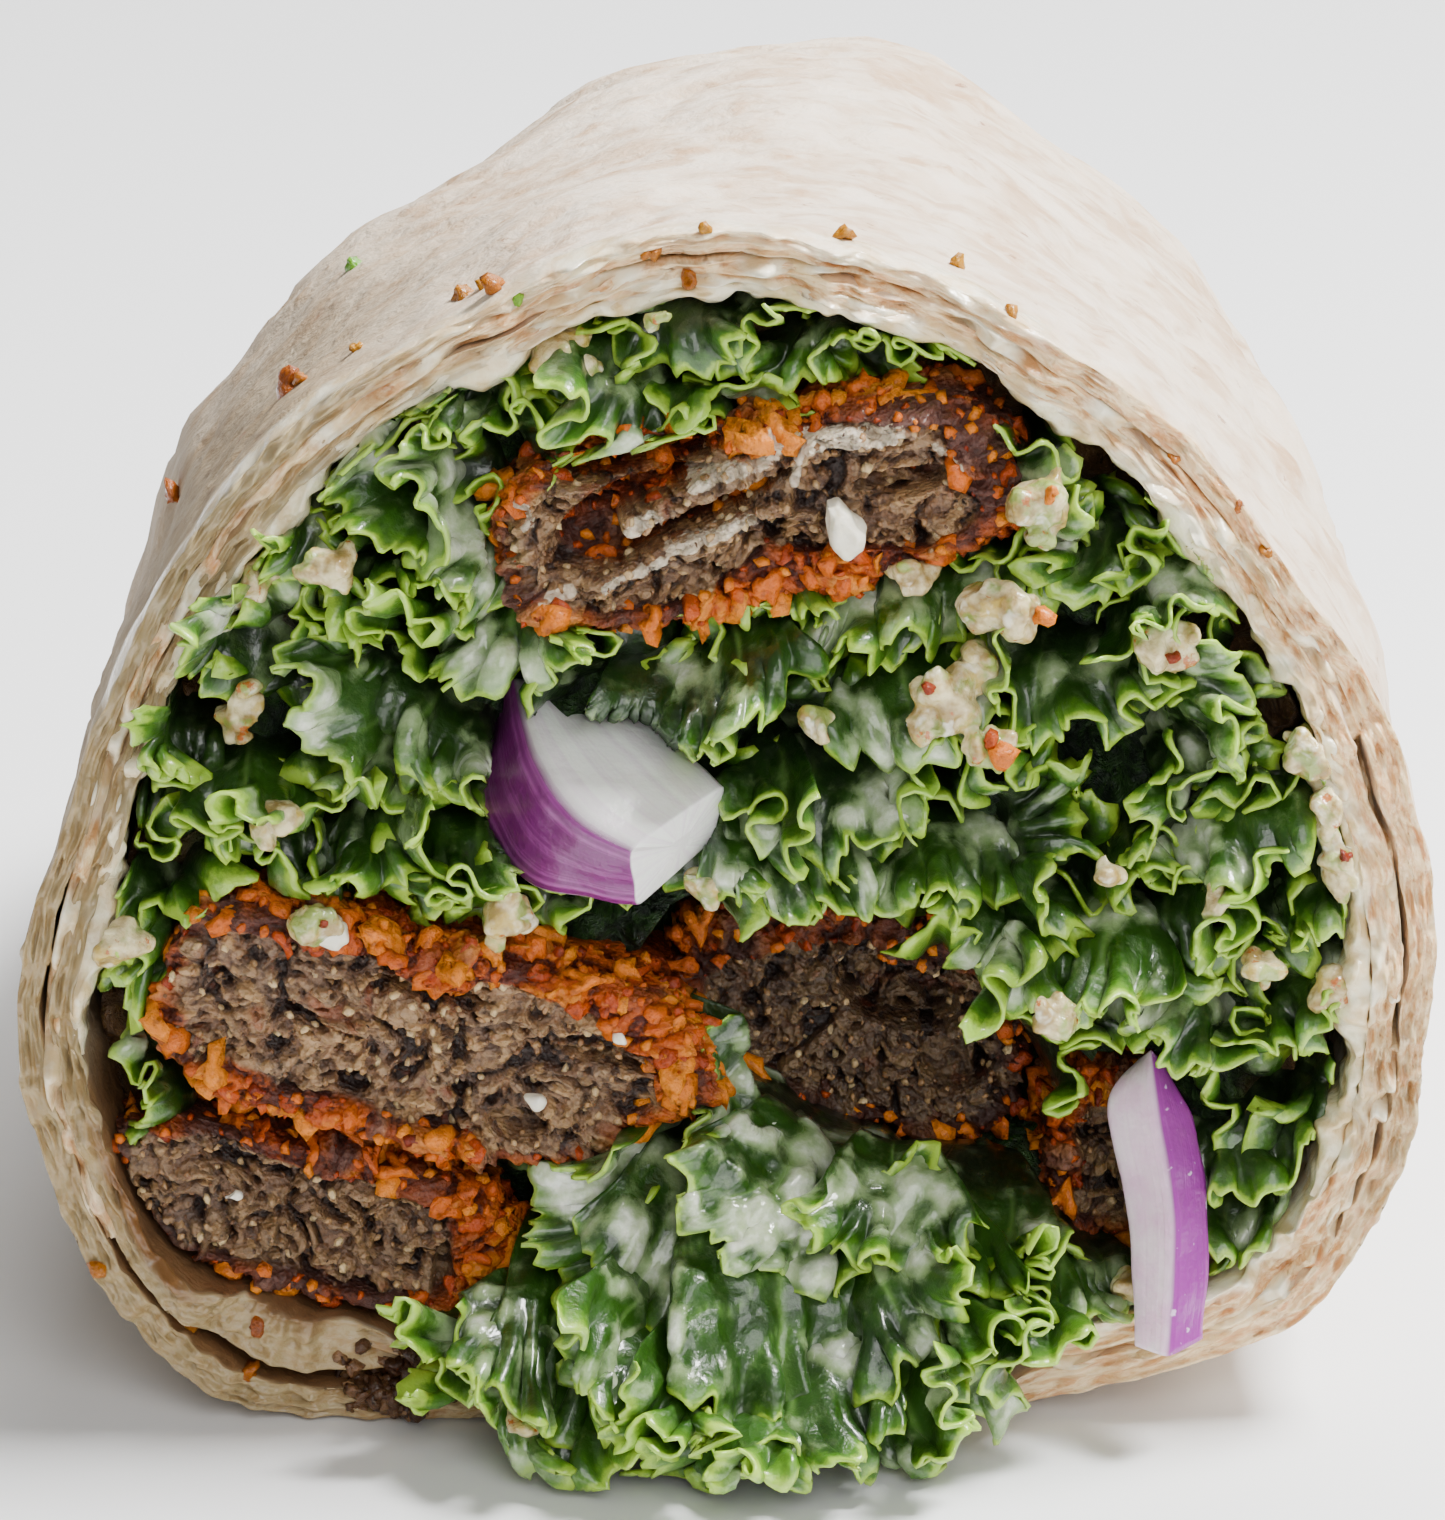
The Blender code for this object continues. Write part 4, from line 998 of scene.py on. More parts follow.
def tucked_end(material):
    """The closed far end: it carries the sheet's surface and seam on, and gathers in pleats to its middle,
    with painted shade in their creases.
    """
    columns = np.arange(COLUMNS_PER_TURN + 1) / COLUMNS_PER_TURN
    rows = [(DOME_EDGE - LAP, 0.07)]
    rows += [(y, 0.0) for y in DOME_EDGE + (WRAP_LENGTH - DOME_EDGE) * np.linspace(0, 0.985, 56) ** 0.8]
    rows += [(y, 1.0) for y in (82.0, 78.0, 72.0, 66.0, DOME_EDGE)]
    points, painted_shade = [], []
    for y, r in rows:
        turn = columns + SEAM_TWIST * float(ramp(y, 60, 84))
        gathered = float(ramp(y, 66, 79))
        phase = math.tau * PLEATS * turn + 0.16 * y + 0.8 * np.sin(math.tau * turn * 2 + 1.0)
        crease = np.maximum(0.0, np.cos(phase)) ** 3
        painted_shade.append(gathered * crease * (1 - r))
        pleat = PLEAT_DEPTH * gathered * crease * (1 - 0.4 * r)
        flat = under_skin(turn, y, sheet_depth(columns) * (1 - 0.6 * gathered) + pleat + DOME_WALL * r)
        flat = flat + outward_step(turn, y) * (wrinkled(flat, y) * (1 - r))[:, None]
        points.append(at_depth(flat, y, 0.0))
    around = len(columns)
    outer = sum(1 for _, r in rows if r < 0.5)  # rows of the outer side
    faces = []
    for i in range(len(rows)):
        if i != outer - 1:
            faces += ring_quads(i * around, (i + 1) % len(rows) * around, around)
    poles = [(DOME_MIDDLE[0], y, DOME_MIDDLE[1]) for y in (WRAP_LENGTH - 0.4, 83.0)]
    points = np.concatenate([*points, np.array(poles)])
    faces += ring_fan((outer - 1) * around, len(points) - 2, around, flip=True)
    faces += ring_fan(outer * around, len(points) - 1, around)
    pile = Pile("flatbread_tucked_end", material, BREAD_VALUES)
    # Painted shade along the pleats' creases, carried by the toasting attribute.
    pleat_shade = 0.5 * np.append(np.concatenate(painted_shade), (0, 0))
    pile.add(points, toasted=np.maximum(toast_and_side_shade(*points.T), pleat_shade))
    return pile.make(faces)


# ---------------------------------------------------------------- kale


class Sight:
    """Keeps leaves from covering the pieces that stand out of the cut, as seen from the photograph's side.

    Each piece is given with how many millimetres of its top they may cover.
    """

    def __init__(self, shown):
        self.trees = []
        for obj, covered in shown:
            seen = self.seen(row_points(obj))
            self.trees.append((surface_tree(obj), seen.min(0), seen.max(0) - (0.0, covered)))

    def seen(self, points):
        """Where points stand in the view: how far to the right and how far up."""
        away = points - VIEW_FROM
        return away[..., (0, 2)] / away[..., 1:2] * -VIEW_FROM[1]

    def cleared(self, points):
        """Moves points that would cover such a piece back along the line of sight, to just behind it."""
        shape = points.shape
        points = points.reshape(-1, 3).copy()
        seen = self.seen(points)
        step, behind = 0.02, 0.25
        for tree, low, high in self.trees:
            for i in np.flatnonzero(((seen > low) & (seen < high)).all(1)):
                place = Vector(points[i])
                towards = (Vector(VIEW_FROM) - place).normalized()
                far, hit = None, tree.ray_cast(place + towards * 60, -towards)[0]
                while hit is not None:
                    far, hit = hit, tree.ray_cast(hit - towards * step, -towards)[0]
                if far is not None and (place - far).dot(towards) > -behind:
                    points[i] = far - towards * (behind + 0.03 * (place - far).length)
        return points.reshape(shape)


# Leaves at the cut: x, z of the margin's middle, its depth, its width, the way it leans (0 is right, 90 up),
# how far it leans in degrees (0 stands straight out of the cut and 90 lies in it), how tightly it is
# ruffled, how much dressing it holds and, for a short leaf that lies on others, the depth it grows from.
LEAVES = {
    "kale_top": (
        (-8.0, 56.3, 1.0, 10.1, 268, 45, 1.15, 0.3), (-1.0, 58.4, 0.0, 11.2, 270, 45, 1.23, 0.3),
        (5.5, 57.6, 0.5, 10.1, 272, 40, 1.23, 0.3), (-4.6, 53.8, -1.0, 10.1, 260, 64, 0.94, 0.4),
        (8.4, 57.6, 1.6, 8.5, 275, 34, 1.15, 0.3), (-13.0, 54.8, 0.5, 9.0, 240, 45, 1.15, 0.3),
    ),
    "kale_left": (
        (-19.5, 52.0, -0.5, 12.3, 200, 60, 0.94, 0.5), (-14.8, 49.6, -1.5, 12.3, 200, 35, 1.23, 0.8),
        (-18.2, 44.5, 0.0, 10.1, 225, 45, 1.31, 0.5), (-26.4, 42.0, -0.5, 10.1, 235, 64, 0.94, 0.6),
        (-20.5, 38.5, -1.0, 12.3, 200, 64, 0.86, 0.6), (-9.4, 42.0, -1.5, 10.1, 280, 52, 1.15, 0.6),
        (-25.0, 33.0, -1.0, 14.6, 265, 45, 1.39, 0.4), (-14.4, 29.8, -1.5, 11.2, 275, 52, 1.31, 0.5),
        (-29.6, 25.5, 0.0, 9.0, 225, 64, 0.94, 0.3), (-15.5, 36.5, -0.5, 11.2, 230, 52, 1.39, 0.6),
        (-22.5, 47.5, 0.0, 9.0, 250, 52, 1.15, 0.5), (-11.5, 46.0, 0.0, 10.1, 300, 45, 1.15, 0.6),
        (-29.5, 36.5, 0.0, 9.0, 250, 45, 1.31, 0.4), (-20.0, 30.0, -0.5, 11.2, 270, 52, 1.39, 0.4),
    ),
    "kale_centre": (
        (-0.2, 38.6, -2.5, 11.2, 285, 45, 1.31, 0.5), (-0.5, 31.0, -1.5, 11.2, 270, 68, 0.94, 0.2),
        (6.2, 33.5, -1.5, 11.2, 280, 52, 1.23, 0.5), (6.0, 43.0, -0.5, 9.0, 250, 64, 0.86, 0.6),
        (11.5, 38.5, -2.0, 11.2, 300, 48, 1.23, 0.7), (12.5, 29.6, -0.5, 10.1, 290, 52, 1.15, 0.4),
        (4.5, 29.5, -1.5, 10.1, 280, 68, 0.94, 0.7), (2.5, 45.0, 0.5, 9.0, 270, 45, 1.15, 0.3),
        (11.0, 44.0, -0.5, 10.1, 290, 64, 0.94, 0.8),
    ),
    "kale_right": (
        (17.0, 51.5, -0.5, 9.0, 30, 45, 1.23, 0.7), (25.0, 46.5, -1.0, 12.3, 340, 52, 1.31, 0.5),
        (25.5, 39.5, -1.5, 11.2, 0, 52, 1.31, 0.5), (18.5, 39.0, -0.5, 11.2, 280, 60, 0.94, 0.5),
        (16.5, 31.5, -1.0, 11.2, 20, 45, 1.31, 0.3), (21.5, 33.0, -0.5, 9.0, 200, 45, 1.23, 0.5),
        (26.8, 31.0, -1.0, 10.1, 290, 48, 1.15, 0.5), (16.5, 24.5, -3.0, 12.3, 250, 48, 1.31, 0.6),
        (29.8, 22.0, 0.0, 11.2, 300, 45, 1.23, 0.5), (28.8, 14.0, 0.5, 11.2, 300, 45, 1.15, 0.5),
        (21.0, 47.0, 0.0, 9.0, 300, 45, 1.23, 0.5), (31.0, 28.0, 0.0, 9.0, 320, 45, 1.31, 0.5),
        (24.5, 26.5, -0.5, 11.2, 290, 52, 1.31, 0.5), (27.0, 9.5, 0.5, 9.0, 280, 45, 1.23, 0.5),
        (22.5, 22.0, -1.0, 9.0, 230, 52, 1.23, 0.5),
    ),
    "kale_low": (
        (0.0, 15.0, -2.0, 13.4, 200, 64, 0.78, 0.72), (-8.5, 10.8, -3.0, 12.3, 190, 64, 0.86, 0.75),
        (8.0, 13.0, -1.5, 12.3, 80, 40, 1.31, 0.5), (11.5, 9.0, -2.5, 11.2, 250, 45, 1.39, 0.5),
        (17.5, 7.0, -1.5, 9.0, 270, 45, 1.31, 0.5), (3.0, 11.0, -2.5, 11.2, 240, 64, 0.94, 0.6),
        (-3.5, 7.5, -4.0, 11.2, 240, 64, 0.94, 0.7), (14.5, 4.5, -3.5, 10.1, 280, 52, 1.31, 0.5),
    ),
    "kale_spilt": (
        (3.6, 4.2, -8.4, 13.0, 275, 74, 0.42, 0.35), (11.6, 5.0, -6.0, 12.3, 300, 52, 1.31, 0.4),
        (-12.6, 2.8, -4.0, 10.1, 250, 52, 1.39, 0.6), (-7.2, 2.4, -7.0, 11.2, 265, 54, 1.39, 0.6),
        (-1.2, 2.6, -11.2, 10.0, 250, 44, 1.31, 0.4, -1.0), (5.2, 2.4, -11.0, 10.0, 290, 44, 1.23, 0.5, -1.0),
    ),
    "kale_on_the_spill": (
        (-11.8, 5.0, -6.4, 8.0, 235, 55, 1.35, 0.6, -0.5), (-7.6, 6.6, -8.0, 7.5, 215, 60, 1.3, 0.7, -1.5),
        (-4.6, 4.8, -10.4, 7.5, 235, 42, 1.35, 0.5, -4.0), (-9.4, 1.8, -9.2, 8.0, 245, 55, 1.35, 0.4, -3.0),
        (10.4, 8.0, -7.2, 8.5, 320, 55, 1.35, 0.5, -1.0), (14.6, 4.6, -6.4, 8.0, 315, 52, 1.35, 0.4, -0.5),
        (10.6, 2.6, -9.4, 8.5, 305, 50, 1.3, 0.4, -3.0), (8.4, 11.6, -5.2, 8.0, 262, 48, 1.35, 0.6, 1.5),
        (-15.4, 2.2, -3.6, 6.5, 240, 58, 1.31, 0.2, 0.5), (0.6, 12.2, -5.4, 10.5, 225, 62, 0.62, 0.75, 2.0),
        (1.8, 2.6, -12.4, 6.5, 275, 30, 1.4, 0.4, -7.0),
    ),
}  # fmt: skip
LEAF_DEPTH = 6.8  # leaves grow out of the heap from this depth
LEAF_THICK = 0.28
FILM_THICK = 0.26
BROAD_BELOW = 0.8  # a leaf less ruffled than this is broad and blistered
FREE_LEAVES = 50
FREE_SPACING = 4.4
FREE_INSET = 1.2  # from the flatbread
FREE_GRID = (56, 14)  # columns and rows of a leaf that fills in
BARE_SPOT = np.array((11.5, 55.3))  # on the top strip, where no such leaf may lie in front of the cut
BARE_RADIUS = 1.2


def leaf_mesh(place, rng, columns, rows, sight):
    """A curly leaf as a closed thin solid: points, faces and the values its finish reads.

    Its margin is far longer than its middle, so each line across it is a meander that swings wider towards
    the margin, where the leaf also flares from side to side in lobes and ends in small pointed teeth.
    """
    x, z, front, width, towards, lean, curl, dressed = place[:8]
    grown_from = place[8] if len(place) > 8 else LEAF_DEPTH
    side = np.array((math.cos(math.radians(towards)), 0.0, math.sin(math.radians(towards))))
    across = np.array((-side[2], 0.0, side[0]))
    out = np.array((0.0, -1.0, 0.0))  # out of the cut
    broad = curl < BROAD_BELOW
    v = 1 - (1 - np.linspace(0, 1, rows)[:, None]) ** 1.35
    u = np.linspace(0, 1, columns)[None, :]

    # Its middle line, which leans over more and more.
    steps = np.linspace(0, 1, 60)
    bends = math.radians(lean) * steps**0.9 + math.radians(rng.uniform(-12, 22)) * ramp(steps, 0.55, 1.0)
    forward, sideways = (np.append(0, np.cumsum(f(bends[:-1])) / (len(steps) - 1)) for f in (np.cos, np.sin))
    length = (grown_from - front) / forward[-1]
    bend = np.interp(v, steps, bends)[..., None]
    tangent = side * np.sin(bend) + out * np.cos(bend)
    normal = out * np.sin(bend) - side * np.cos(bend)
    root = np.array((x, grown_from, z)) - side * sideways[-1] * length
    reach = side * np.interp(v, steps, sideways)[..., None] + out * np.interp(v, steps, forward)[..., None]
    path = root + reach * length

    # The meander of each line across it.
    swings = width / rng.uniform(3.6, 5.2)
    bands = (  # waves over the leaf's width, and how far each turns the line aside
        (rng.uniform(0.5, 1.0), 0.6 * (0.4 + 0.6 * v)),
        (swings, curl * (0.1 * v + 0.95 * v**4.5)),
        (swings * rng.uniform(2.2, 2.7), 0.5 * curl * ramp(v, 0.66, 1.0)),
        (swings * rng.uniform(4.8, 5.6), 0.3 * curl * ramp(v, 0.8, 1.0)),
    )
    heading = np.zeros((rows, columns))
    for rate, amount in bands:
        drift = rng.uniform() + 0.12 * np.sin(math.tau * (u * 1.7 + rng.uniform()))
        heading = heading + amount * np.sin(math.tau * (rate * u + drift))
    cosine, sine = np.cos(heading), np.sin(heading)
    stretch = width * (0.5 + 0.5 * v) / np.maximum(cosine.mean(1, keepdims=True), 0.25)
    along = np.cumsum(cosine, 1) * stretch / columns
    lift = np.cumsum(sine, 1) * stretch / columns
    along -= (along[:, :1] + along[:, -1:]) / 2
    lift -= lift.mean(1, keepdims=True)
    rounding = -0.3 * width * np.abs(2 * u - 1) ** 2.6 * v
    middle = path + across * along[..., None] + normal * lift[..., None] + tangent * rounding[..., None]

    # Its flare, teeth, lobes and blisters.
    arc = u * float(stretch[-1, 0])
    sway = np.sin(math.tau * (arc / rng.uniform(2.6, 3.8) + 0.3 * np.sin(arc / 2.1 + rng.uniform(0, 6))))
    upright = grid_facing(middle)
    middle = middle + upright * (0.6 * sway * ramp(v, 0.6, 1.0) ** 2)[..., None]
    beat = math.pi * (arc / rng.uniform(0.95, 1.3) + 0.5 * np.sin(arc / 1.7 + rng.uniform(0, 6)))
    tooth = 1 - np.sqrt(np.sin(beat) ** 2 + 0.015)
    uneven = 0.62 + 0.38 * np.sin(arc / 0.9 + rng.uniform(0, 6)) * np.sin(arc / 2.3 + rng.uniform(0, 6))
    lobe_phase = math.tau * (arc / rng.uniform(3.4, 4.6) + rng.uniform()) + 0.8 * np.sin(arc / 3.1)
    lobe = 0.5 + 0.5 * np.sin(lobe_phase)
    teeth = 0.95 * tooth * uneven * ramp(v, 0.84, 1.0) + 1.15 * lobe * ramp(v, 0.5, 1.0)
    middle = middle + unit(np.gradient(middle, axis=0)) * teeth[..., None]
    ripple = waves(middle, 1.5, int(rng.integers(1e6))) * 0.11 * ramp(v, 0.1, 0.5)
    blister = domes(middle, 2.1 if broad else 1.7, int(50 * (width + abs(x) + abs(z))))[0]
    ripple = ripple + (0.7 if broad else 0.3 * (1 - ramp(v, 0.75, 0.95))) * blister * ramp(v, 0.1, 0.3)
    over_strips = z > 52 or grown_from < LEAF_DEPTH
    middle = middle + upright * ripple[..., None]
    middle = held_inside(clear_of_strips(middle, 1.06, 1.6 if over_strips else 5.5))
    middle = sight.cleared(middle)
    middle[..., 2] = np.maximum(middle[..., 2], 0.35 + 0.15 * ramp(-middle[..., 1], 0, 6))

    upright = grid_facing(middle)
    flipped = (upright * normal).sum() < 0
    upright = -upright if flipped else upright

    # Where dressing pools on it, its ribs and its margin, whose outermost band takes a painted highlight.
    from_margin = (1 - v) * length + 0 * u
    pools = waves(middle, 2.8, int(rng.integers(1e6))) * 0.5
    blots = waves(middle, 1.0, int(rng.integers(1e6)))
    hollow = -lift / max(float(np.abs(lift).max()), 0.3)
    sunk = (1.1 if broad else 0.55) * (0.4 - blister)
    film = ramp(pools + 0.25 * blots + 0.35 * hollow + sunk + 2.0 * dressed - 0.9, 0.0, 1.15)
    film = film * (0.3 + 0.7 * ramp(from_margin, 0.1, 0.7)) * ramp(np.minimum(u, 1 - u), 0.0, 0.05)
    rib_at = np.abs(((u * swings * 0.9 + 0.25 + 0.05 * np.sin(9 * v)) % 1.0) - 0.5) * 2
    vein = np.exp(-(((1 - rib_at) / (0.05 + 0.05 * v)) ** 2)) * (1 - ramp(v, 0.55, 0.95))
    if broad:
        branch = (v * length - 1.1 * np.abs(along) + 0.4 * np.sin(along)) / 3.4
        branch = np.exp(-((np.abs((branch % 1.0) - 0.5) * 2 / 0.09) ** 2)) * (1 - ramp(v, 0.75, 1.0))
        vein = np.maximum(np.exp(-((along / (0.42 - 0.25 * v)) ** 2)), 0.75 * branch)
    edge = 0.5 * (1 - ramp(from_margin, 0.2, 1.4)) + 0.5 * (1 - ramp(from_margin, 0.08, 0.4))
    thick = LEAF_THICK * (0.35 + 0.65 * ramp(np.minimum(u, 1 - u), 0, 0.03)) * (1 - 0.3 * ramp(v, 0.9, 1.0))

    top = middle + upright * (thick / 2 + FILM_THICK * film**1.5)[..., None]
    under = middle - upright * (thick / 2)[..., None]
    count = rows * columns
    rim = grid_rim(rows, columns)
    after = np.roll(rim, -1)
    sides = np.stack([after, rim, rim + count, after + count], -1)
    faces = np.concatenate([
        grid_faces(rows, columns, 0, flip=flipped), grid_faces(rows, columns, count, flip=not flipped),
        sides[:, ::-1] if flipped else sides,
    ])  # fmt: skip
    # How far behind the cut a point lies, which the finish paints as shade.
    deep = 1 - ramp(-middle[..., 1], -4.0, 0.8)
    sides_of = {"edge": (edge, edge), "film": (film, 0.5 * film), "vein": (vein, vein), "deep": (deep, deep)}
    values = {name: np.concatenate([a.ravel(), b.ravel()]) for name, (a, b) in sides_of.items()}
    values["tone"] = float(np.clip(rng.normal(0.35, 0.28), 0, 1))
    return np.concatenate([top.reshape(-1, 3), under.reshape(-1, 3)]), faces, values


def free_spots(rng):
    """Spots on the cut away from the strips and the spilt leaves, at least the spacing apart."""
    spots = []
    for _ in range(60 * FREE_LEAVES):
        spot = np.array((rng.uniform(-34, 35), rng.uniform(1, 62)))
        angle, reach = polar(spot)
        if reach > room_inside(angle) - FREE_INSET:
            continue
        over_spill = spot[1] < 10 and abs(spot[0]) < 17
        if over_spill or any(strip_place(name, *spot) < 1.15 for name in STRIPS):
            continue
        if all(np.hypot(*(spot - other)) > FREE_SPACING for other in spots):
            spots.append(spot)
        if len(spots) == FREE_LEAVES:
            break
    return spots


def kale_leaves(material, sight):
    """The leaves at the cut, in one piece for each part of it, and smaller ones that fill in behind them."""
    rng = np.random.default_rng(SEED)
    pieces = []
    for name, places in LEAVES.items():
        pile = Pile(name, material, LEAF_VALUES)
        for place in places:
            _, _, _, width, _, _, curl, *_ = place
            columns, rows = int(32 + 9 * width), 44 if curl < BROAD_BELOW else 18
            points, faces, values = leaf_mesh(place, rng, columns, rows, sight)
            pile.add(points, faces, **values)
        pieces.append(pile.make())
    pile = Pile("kale_between", material, LEAF_VALUES)
    for spot in free_spots(rng):
        towards = math.degrees(math.atan2(spot[1] - 30, spot[0])) + rng.uniform(-80, 80)
        front, width, lean = rng.uniform(0.2, 2.2), rng.uniform(7, 10), rng.uniform(30, 60)
        curl, dressed = rng.uniform(1.0, 1.4), rng.uniform(0.25, 0.6)
        place = (*spot, front, width, towards, lean, curl, dressed)
        points, faces, values = leaf_mesh(place, rng, *FREE_GRID, sight)
        over_bare_spot = np.linalg.norm(points[:, (0, 2)] - BARE_SPOT, axis=1) < BARE_RADIUS
        if not (over_bare_spot & (points[:, 1] < 0)).any():
            pile.add(points, faces, **values)
    return [*pieces, pile.make()]


def heap_core(material):
    """The dark bulk of the salad behind the leaves, with wells where the strips come out."""
    sides, rings = 150, 44
    gap, front_at, well, tucked_in = 0.7, 4.6, 4.5, 8.2  # millimetres
    angles = np.arange(sides) / sides
    rim = under_skin(angles, 6.0, wall_depth(angles) + gap)
    points = []
    for share in np.linspace(0.02, 1.0, rings):
        flat = AXIS_POINT + (rim - AXIS_POINT) * share
        y = front_at + 0.9 * waves(flat, 2.6, 71) + 0.35 * waves(flat, 1.1, 72)
        for name, (_, _, first, *_) in STRIPS.items():
            held = 1 - ramp(strip_place(name, flat[:, 0], flat[:, 1]), 1.12, 1.3)
            y = y + (np.maximum(first + well, y) - y) * held
        points.append(at_depth(flat, y))
    for y in (14.0, 24.0, 34.0, 44.0, 52.0, 58.0, 64.0, 70.0, 75.0, 78.0):
        tucked = float(ramp(y, 44, 60))
        depth = (wall_depth(angles) + gap + 0.01 * y) * (1 - tucked) + tucked_in * tucked
        points.append(at_depth(under_skin(angles, y, depth), y))
    faces = capped_rings(len(points), sides, corner=1)
    front = (AXIS_POINT[0], points[0][:, 1].mean(), AXIS_POINT[1])
    points = np.concatenate([*points, np.array([front, (DOME_MIDDLE[0], 79.5, DOME_MIDDLE[1])])])
    angles, spokes = polar(points[:, (0, 2)])
    # Where the core meets the flatbread, which its finish paints in warm brown shade.
    wall = ramp(spokes / room_inside(angles), 0.84, 0.95)
    return mesh_object("kale_heap_core", points, faces, material, wall=wall)


# ---------------------------------------------------------------- small shapes and scatter


def lump(name, rng, stretch=(1, 1, 1), rough=0.35, subdivisions=2, size=1.1):
    """A small irregular lump about 1 mm in radius, for crumbs, clumps and grains. Its mesh is in metres."""
    bm = bmesh.new()
    bmesh.ops.create_icosphere(bm, subdivisions=subdivisions, radius=1.0)
    points = np.array([vert.co for vert in bm.verts])
    swell = 1 + rough * waves(points, size, int(rng.integers(1e6)))
    for vert, share in zip(bm.verts, swell):
        vert.co = Vector([c * s * MM for c, s in zip(vert.co * share, stretch)])
    mesh = bpy.data.meshes.new(name)
    bm.to_mesh(mesh)
    bm.free()
    mesh.shade_smooth()
    return bpy.data.objects.new(name, mesh)


def lump_set(name, count, rng, **form):
    """A hidden collection of such shapes for a scatter to pick from."""
    made = bpy.data.collections.new(name)
    for i in range(count):
        made.objects.link(lump(f"{name}_{i}", rng, **form))
    return made


def scatter_tree():
    """Geometry nodes: shapes from a collection, set on a surface where its attribute scatter allows."""
    tree = bpy.data.node_groups.new("Scattered pieces", "GeometryNodeTree")
    inputs = (
        ("Surface", "Geometry", None), ("Shapes", "Collection", None), ("Density", "Float", 1e6),
        ("Spacing", "Float", 0.001), ("Smallest", "Float", 0.5), ("Largest", "Float", 1.0),
        ("Lift", "Float", 0.0), ("Seed", "Int", 0), ("Finish", "Material", None),
    )  # fmt: skip
    for name, kind, value in inputs:
        socket = tree.interface.new_socket(name, in_out="INPUT", socket_type="NodeSocket" + kind)
        if value is not None:
            socket.default_value = value
    tree.interface.new_socket("Pieces", in_out="OUTPUT", socket_type="NodeSocketGeometry")

    def draw(kind, output, inputs):
        """A random value of that kind for each point."""
        inputs = {"Seed": given["Seed"], **inputs}
        return add_node(tree, "FunctionNodeRandomValue", inputs, data_type=kind)[output]

    given = add_node(tree, "NodeGroupInput")
    allowed = add_node(tree, "GeometryNodeInputNamedAttribute", {"Name": "scatter"}, data_type="FLOAT")
    spread = add_node(tree, "GeometryNodeDistributePointsOnFaces", {
        "Mesh": given["Surface"], "Distance Min": given["Spacing"], "Density Max": given["Density"],
        "Density Factor": allowed["Attribute"], "Seed": given["Seed"],
    }, distribute_method="POISSON")  # fmt: skip
    tinted = add_node(tree, "GeometryNodeStoreNamedAttribute", {
        "Name": "tint", "Geometry": spread["Points"], "Value": draw("FLOAT", 1, {}),
    }, data_type="FLOAT", domain="POINT")  # fmt: skip
    lift = add_node(tree, "ShaderNodeVectorMath", {
        0: spread["Normal"], "Scale": given["Lift"],
    }, operation="SCALE")  # fmt: skip
    lifted = add_node(tree, "GeometryNodeSetPosition", {"Geometry": tinted["Geometry"], "Offset": lift[0]})
    shapes = add_node(tree, "GeometryNodeCollectionInfo", {
        "Separate Children": True, "Collection": given["Shapes"],
    })  # fmt: skip
    placed = add_node(tree, "GeometryNodeInstanceOnPoints", {
        "Pick Instance": True, "Points": lifted["Geometry"], "Instance": shapes["Instances"],
        "Rotation": draw("FLOAT_VECTOR", 0, {1: (math.tau,) * 3}),
        "Scale": draw("FLOAT", 1, {2: given["Smallest"], 3: given["Largest"]}),
    })  # fmt: skip
    real = add_node(tree, "GeometryNodeRealizeInstances", {"Geometry": placed["Instances"]})
    finished = add_node(tree, "GeometryNodeSetMaterial", {
        "Geometry": real["Geometry"], "Material": given["Finish"],
    })  # fmt: skip
    add_node(tree, "NodeGroupOutput", {"Pieces": finished["Geometry"]})
    return tree


def scattered(name, surface, where, tree, **inputs):
    """Runs the scatter on a copy of the surface and returns the pieces as a plain mesh object."""
    mesh = surface.data.copy()
    add_attributes(mesh, {"scatter": where})
    carrier = add_object(name, mesh)
    modifier = carrier.modifiers.new("Scatter", "NODES")
    modifier.node_group = tree
    sockets = {item.name: item.identifier for item in tree.interface.items_tree if item.in_out == "INPUT"}
    for key, value in inputs.items():
        modifier[sockets[key]] = value
    made = plain_mesh(carrier)
    bpy.data.objects.remove(carrier)
    return add_object(name, made)


# ---------------------------------------------------------------- patty strips


def near_line(x, z, line):
    """Distance from a line between two points, in the plane of the cut."""
    x0, z0, x1, z1 = line[:4]
    share = ((x - x0) * (x1 - x0) + (z - z0) * (z1 - z0)) / ((x1 - x0) ** 2 + (z1 - z0) ** 2)
    share = np.clip(share, 0, 1)
    return np.hypot(x - x0 - share * (x1 - x0), z - z0 - share * (z1 - z0))


def torn(name, x, z):
    """How far a strip's cut end is torn back or stands forward at x, z, and where dressing lies on it."""
    back = np.zeros_like(x)
    for *section, depth in STRIP_HOLLOWS.get(name, ()):
        back = np.maximum(back, depth * (1 - ramp(np.hypot(*in_section(x, z, section)), 0.7, 1.1)))
    for *line, half_thickness, at in STRIP_RIDGES.get(name, ()):
        held = 1 - ramp(near_line(x, z, line), 0.6 * half_thickness, 1.15 * half_thickness)
        back = back * (1 - held) + at * held
    smear = np.zeros_like(x)
    for *line, half_width in STRIP_SMEARS.get(name, ()):
        smear = np.maximum(smear, 1 - ramp(near_line(x, z, line), 0.55 * half_width, 1.2 * half_width))
    return back, smear


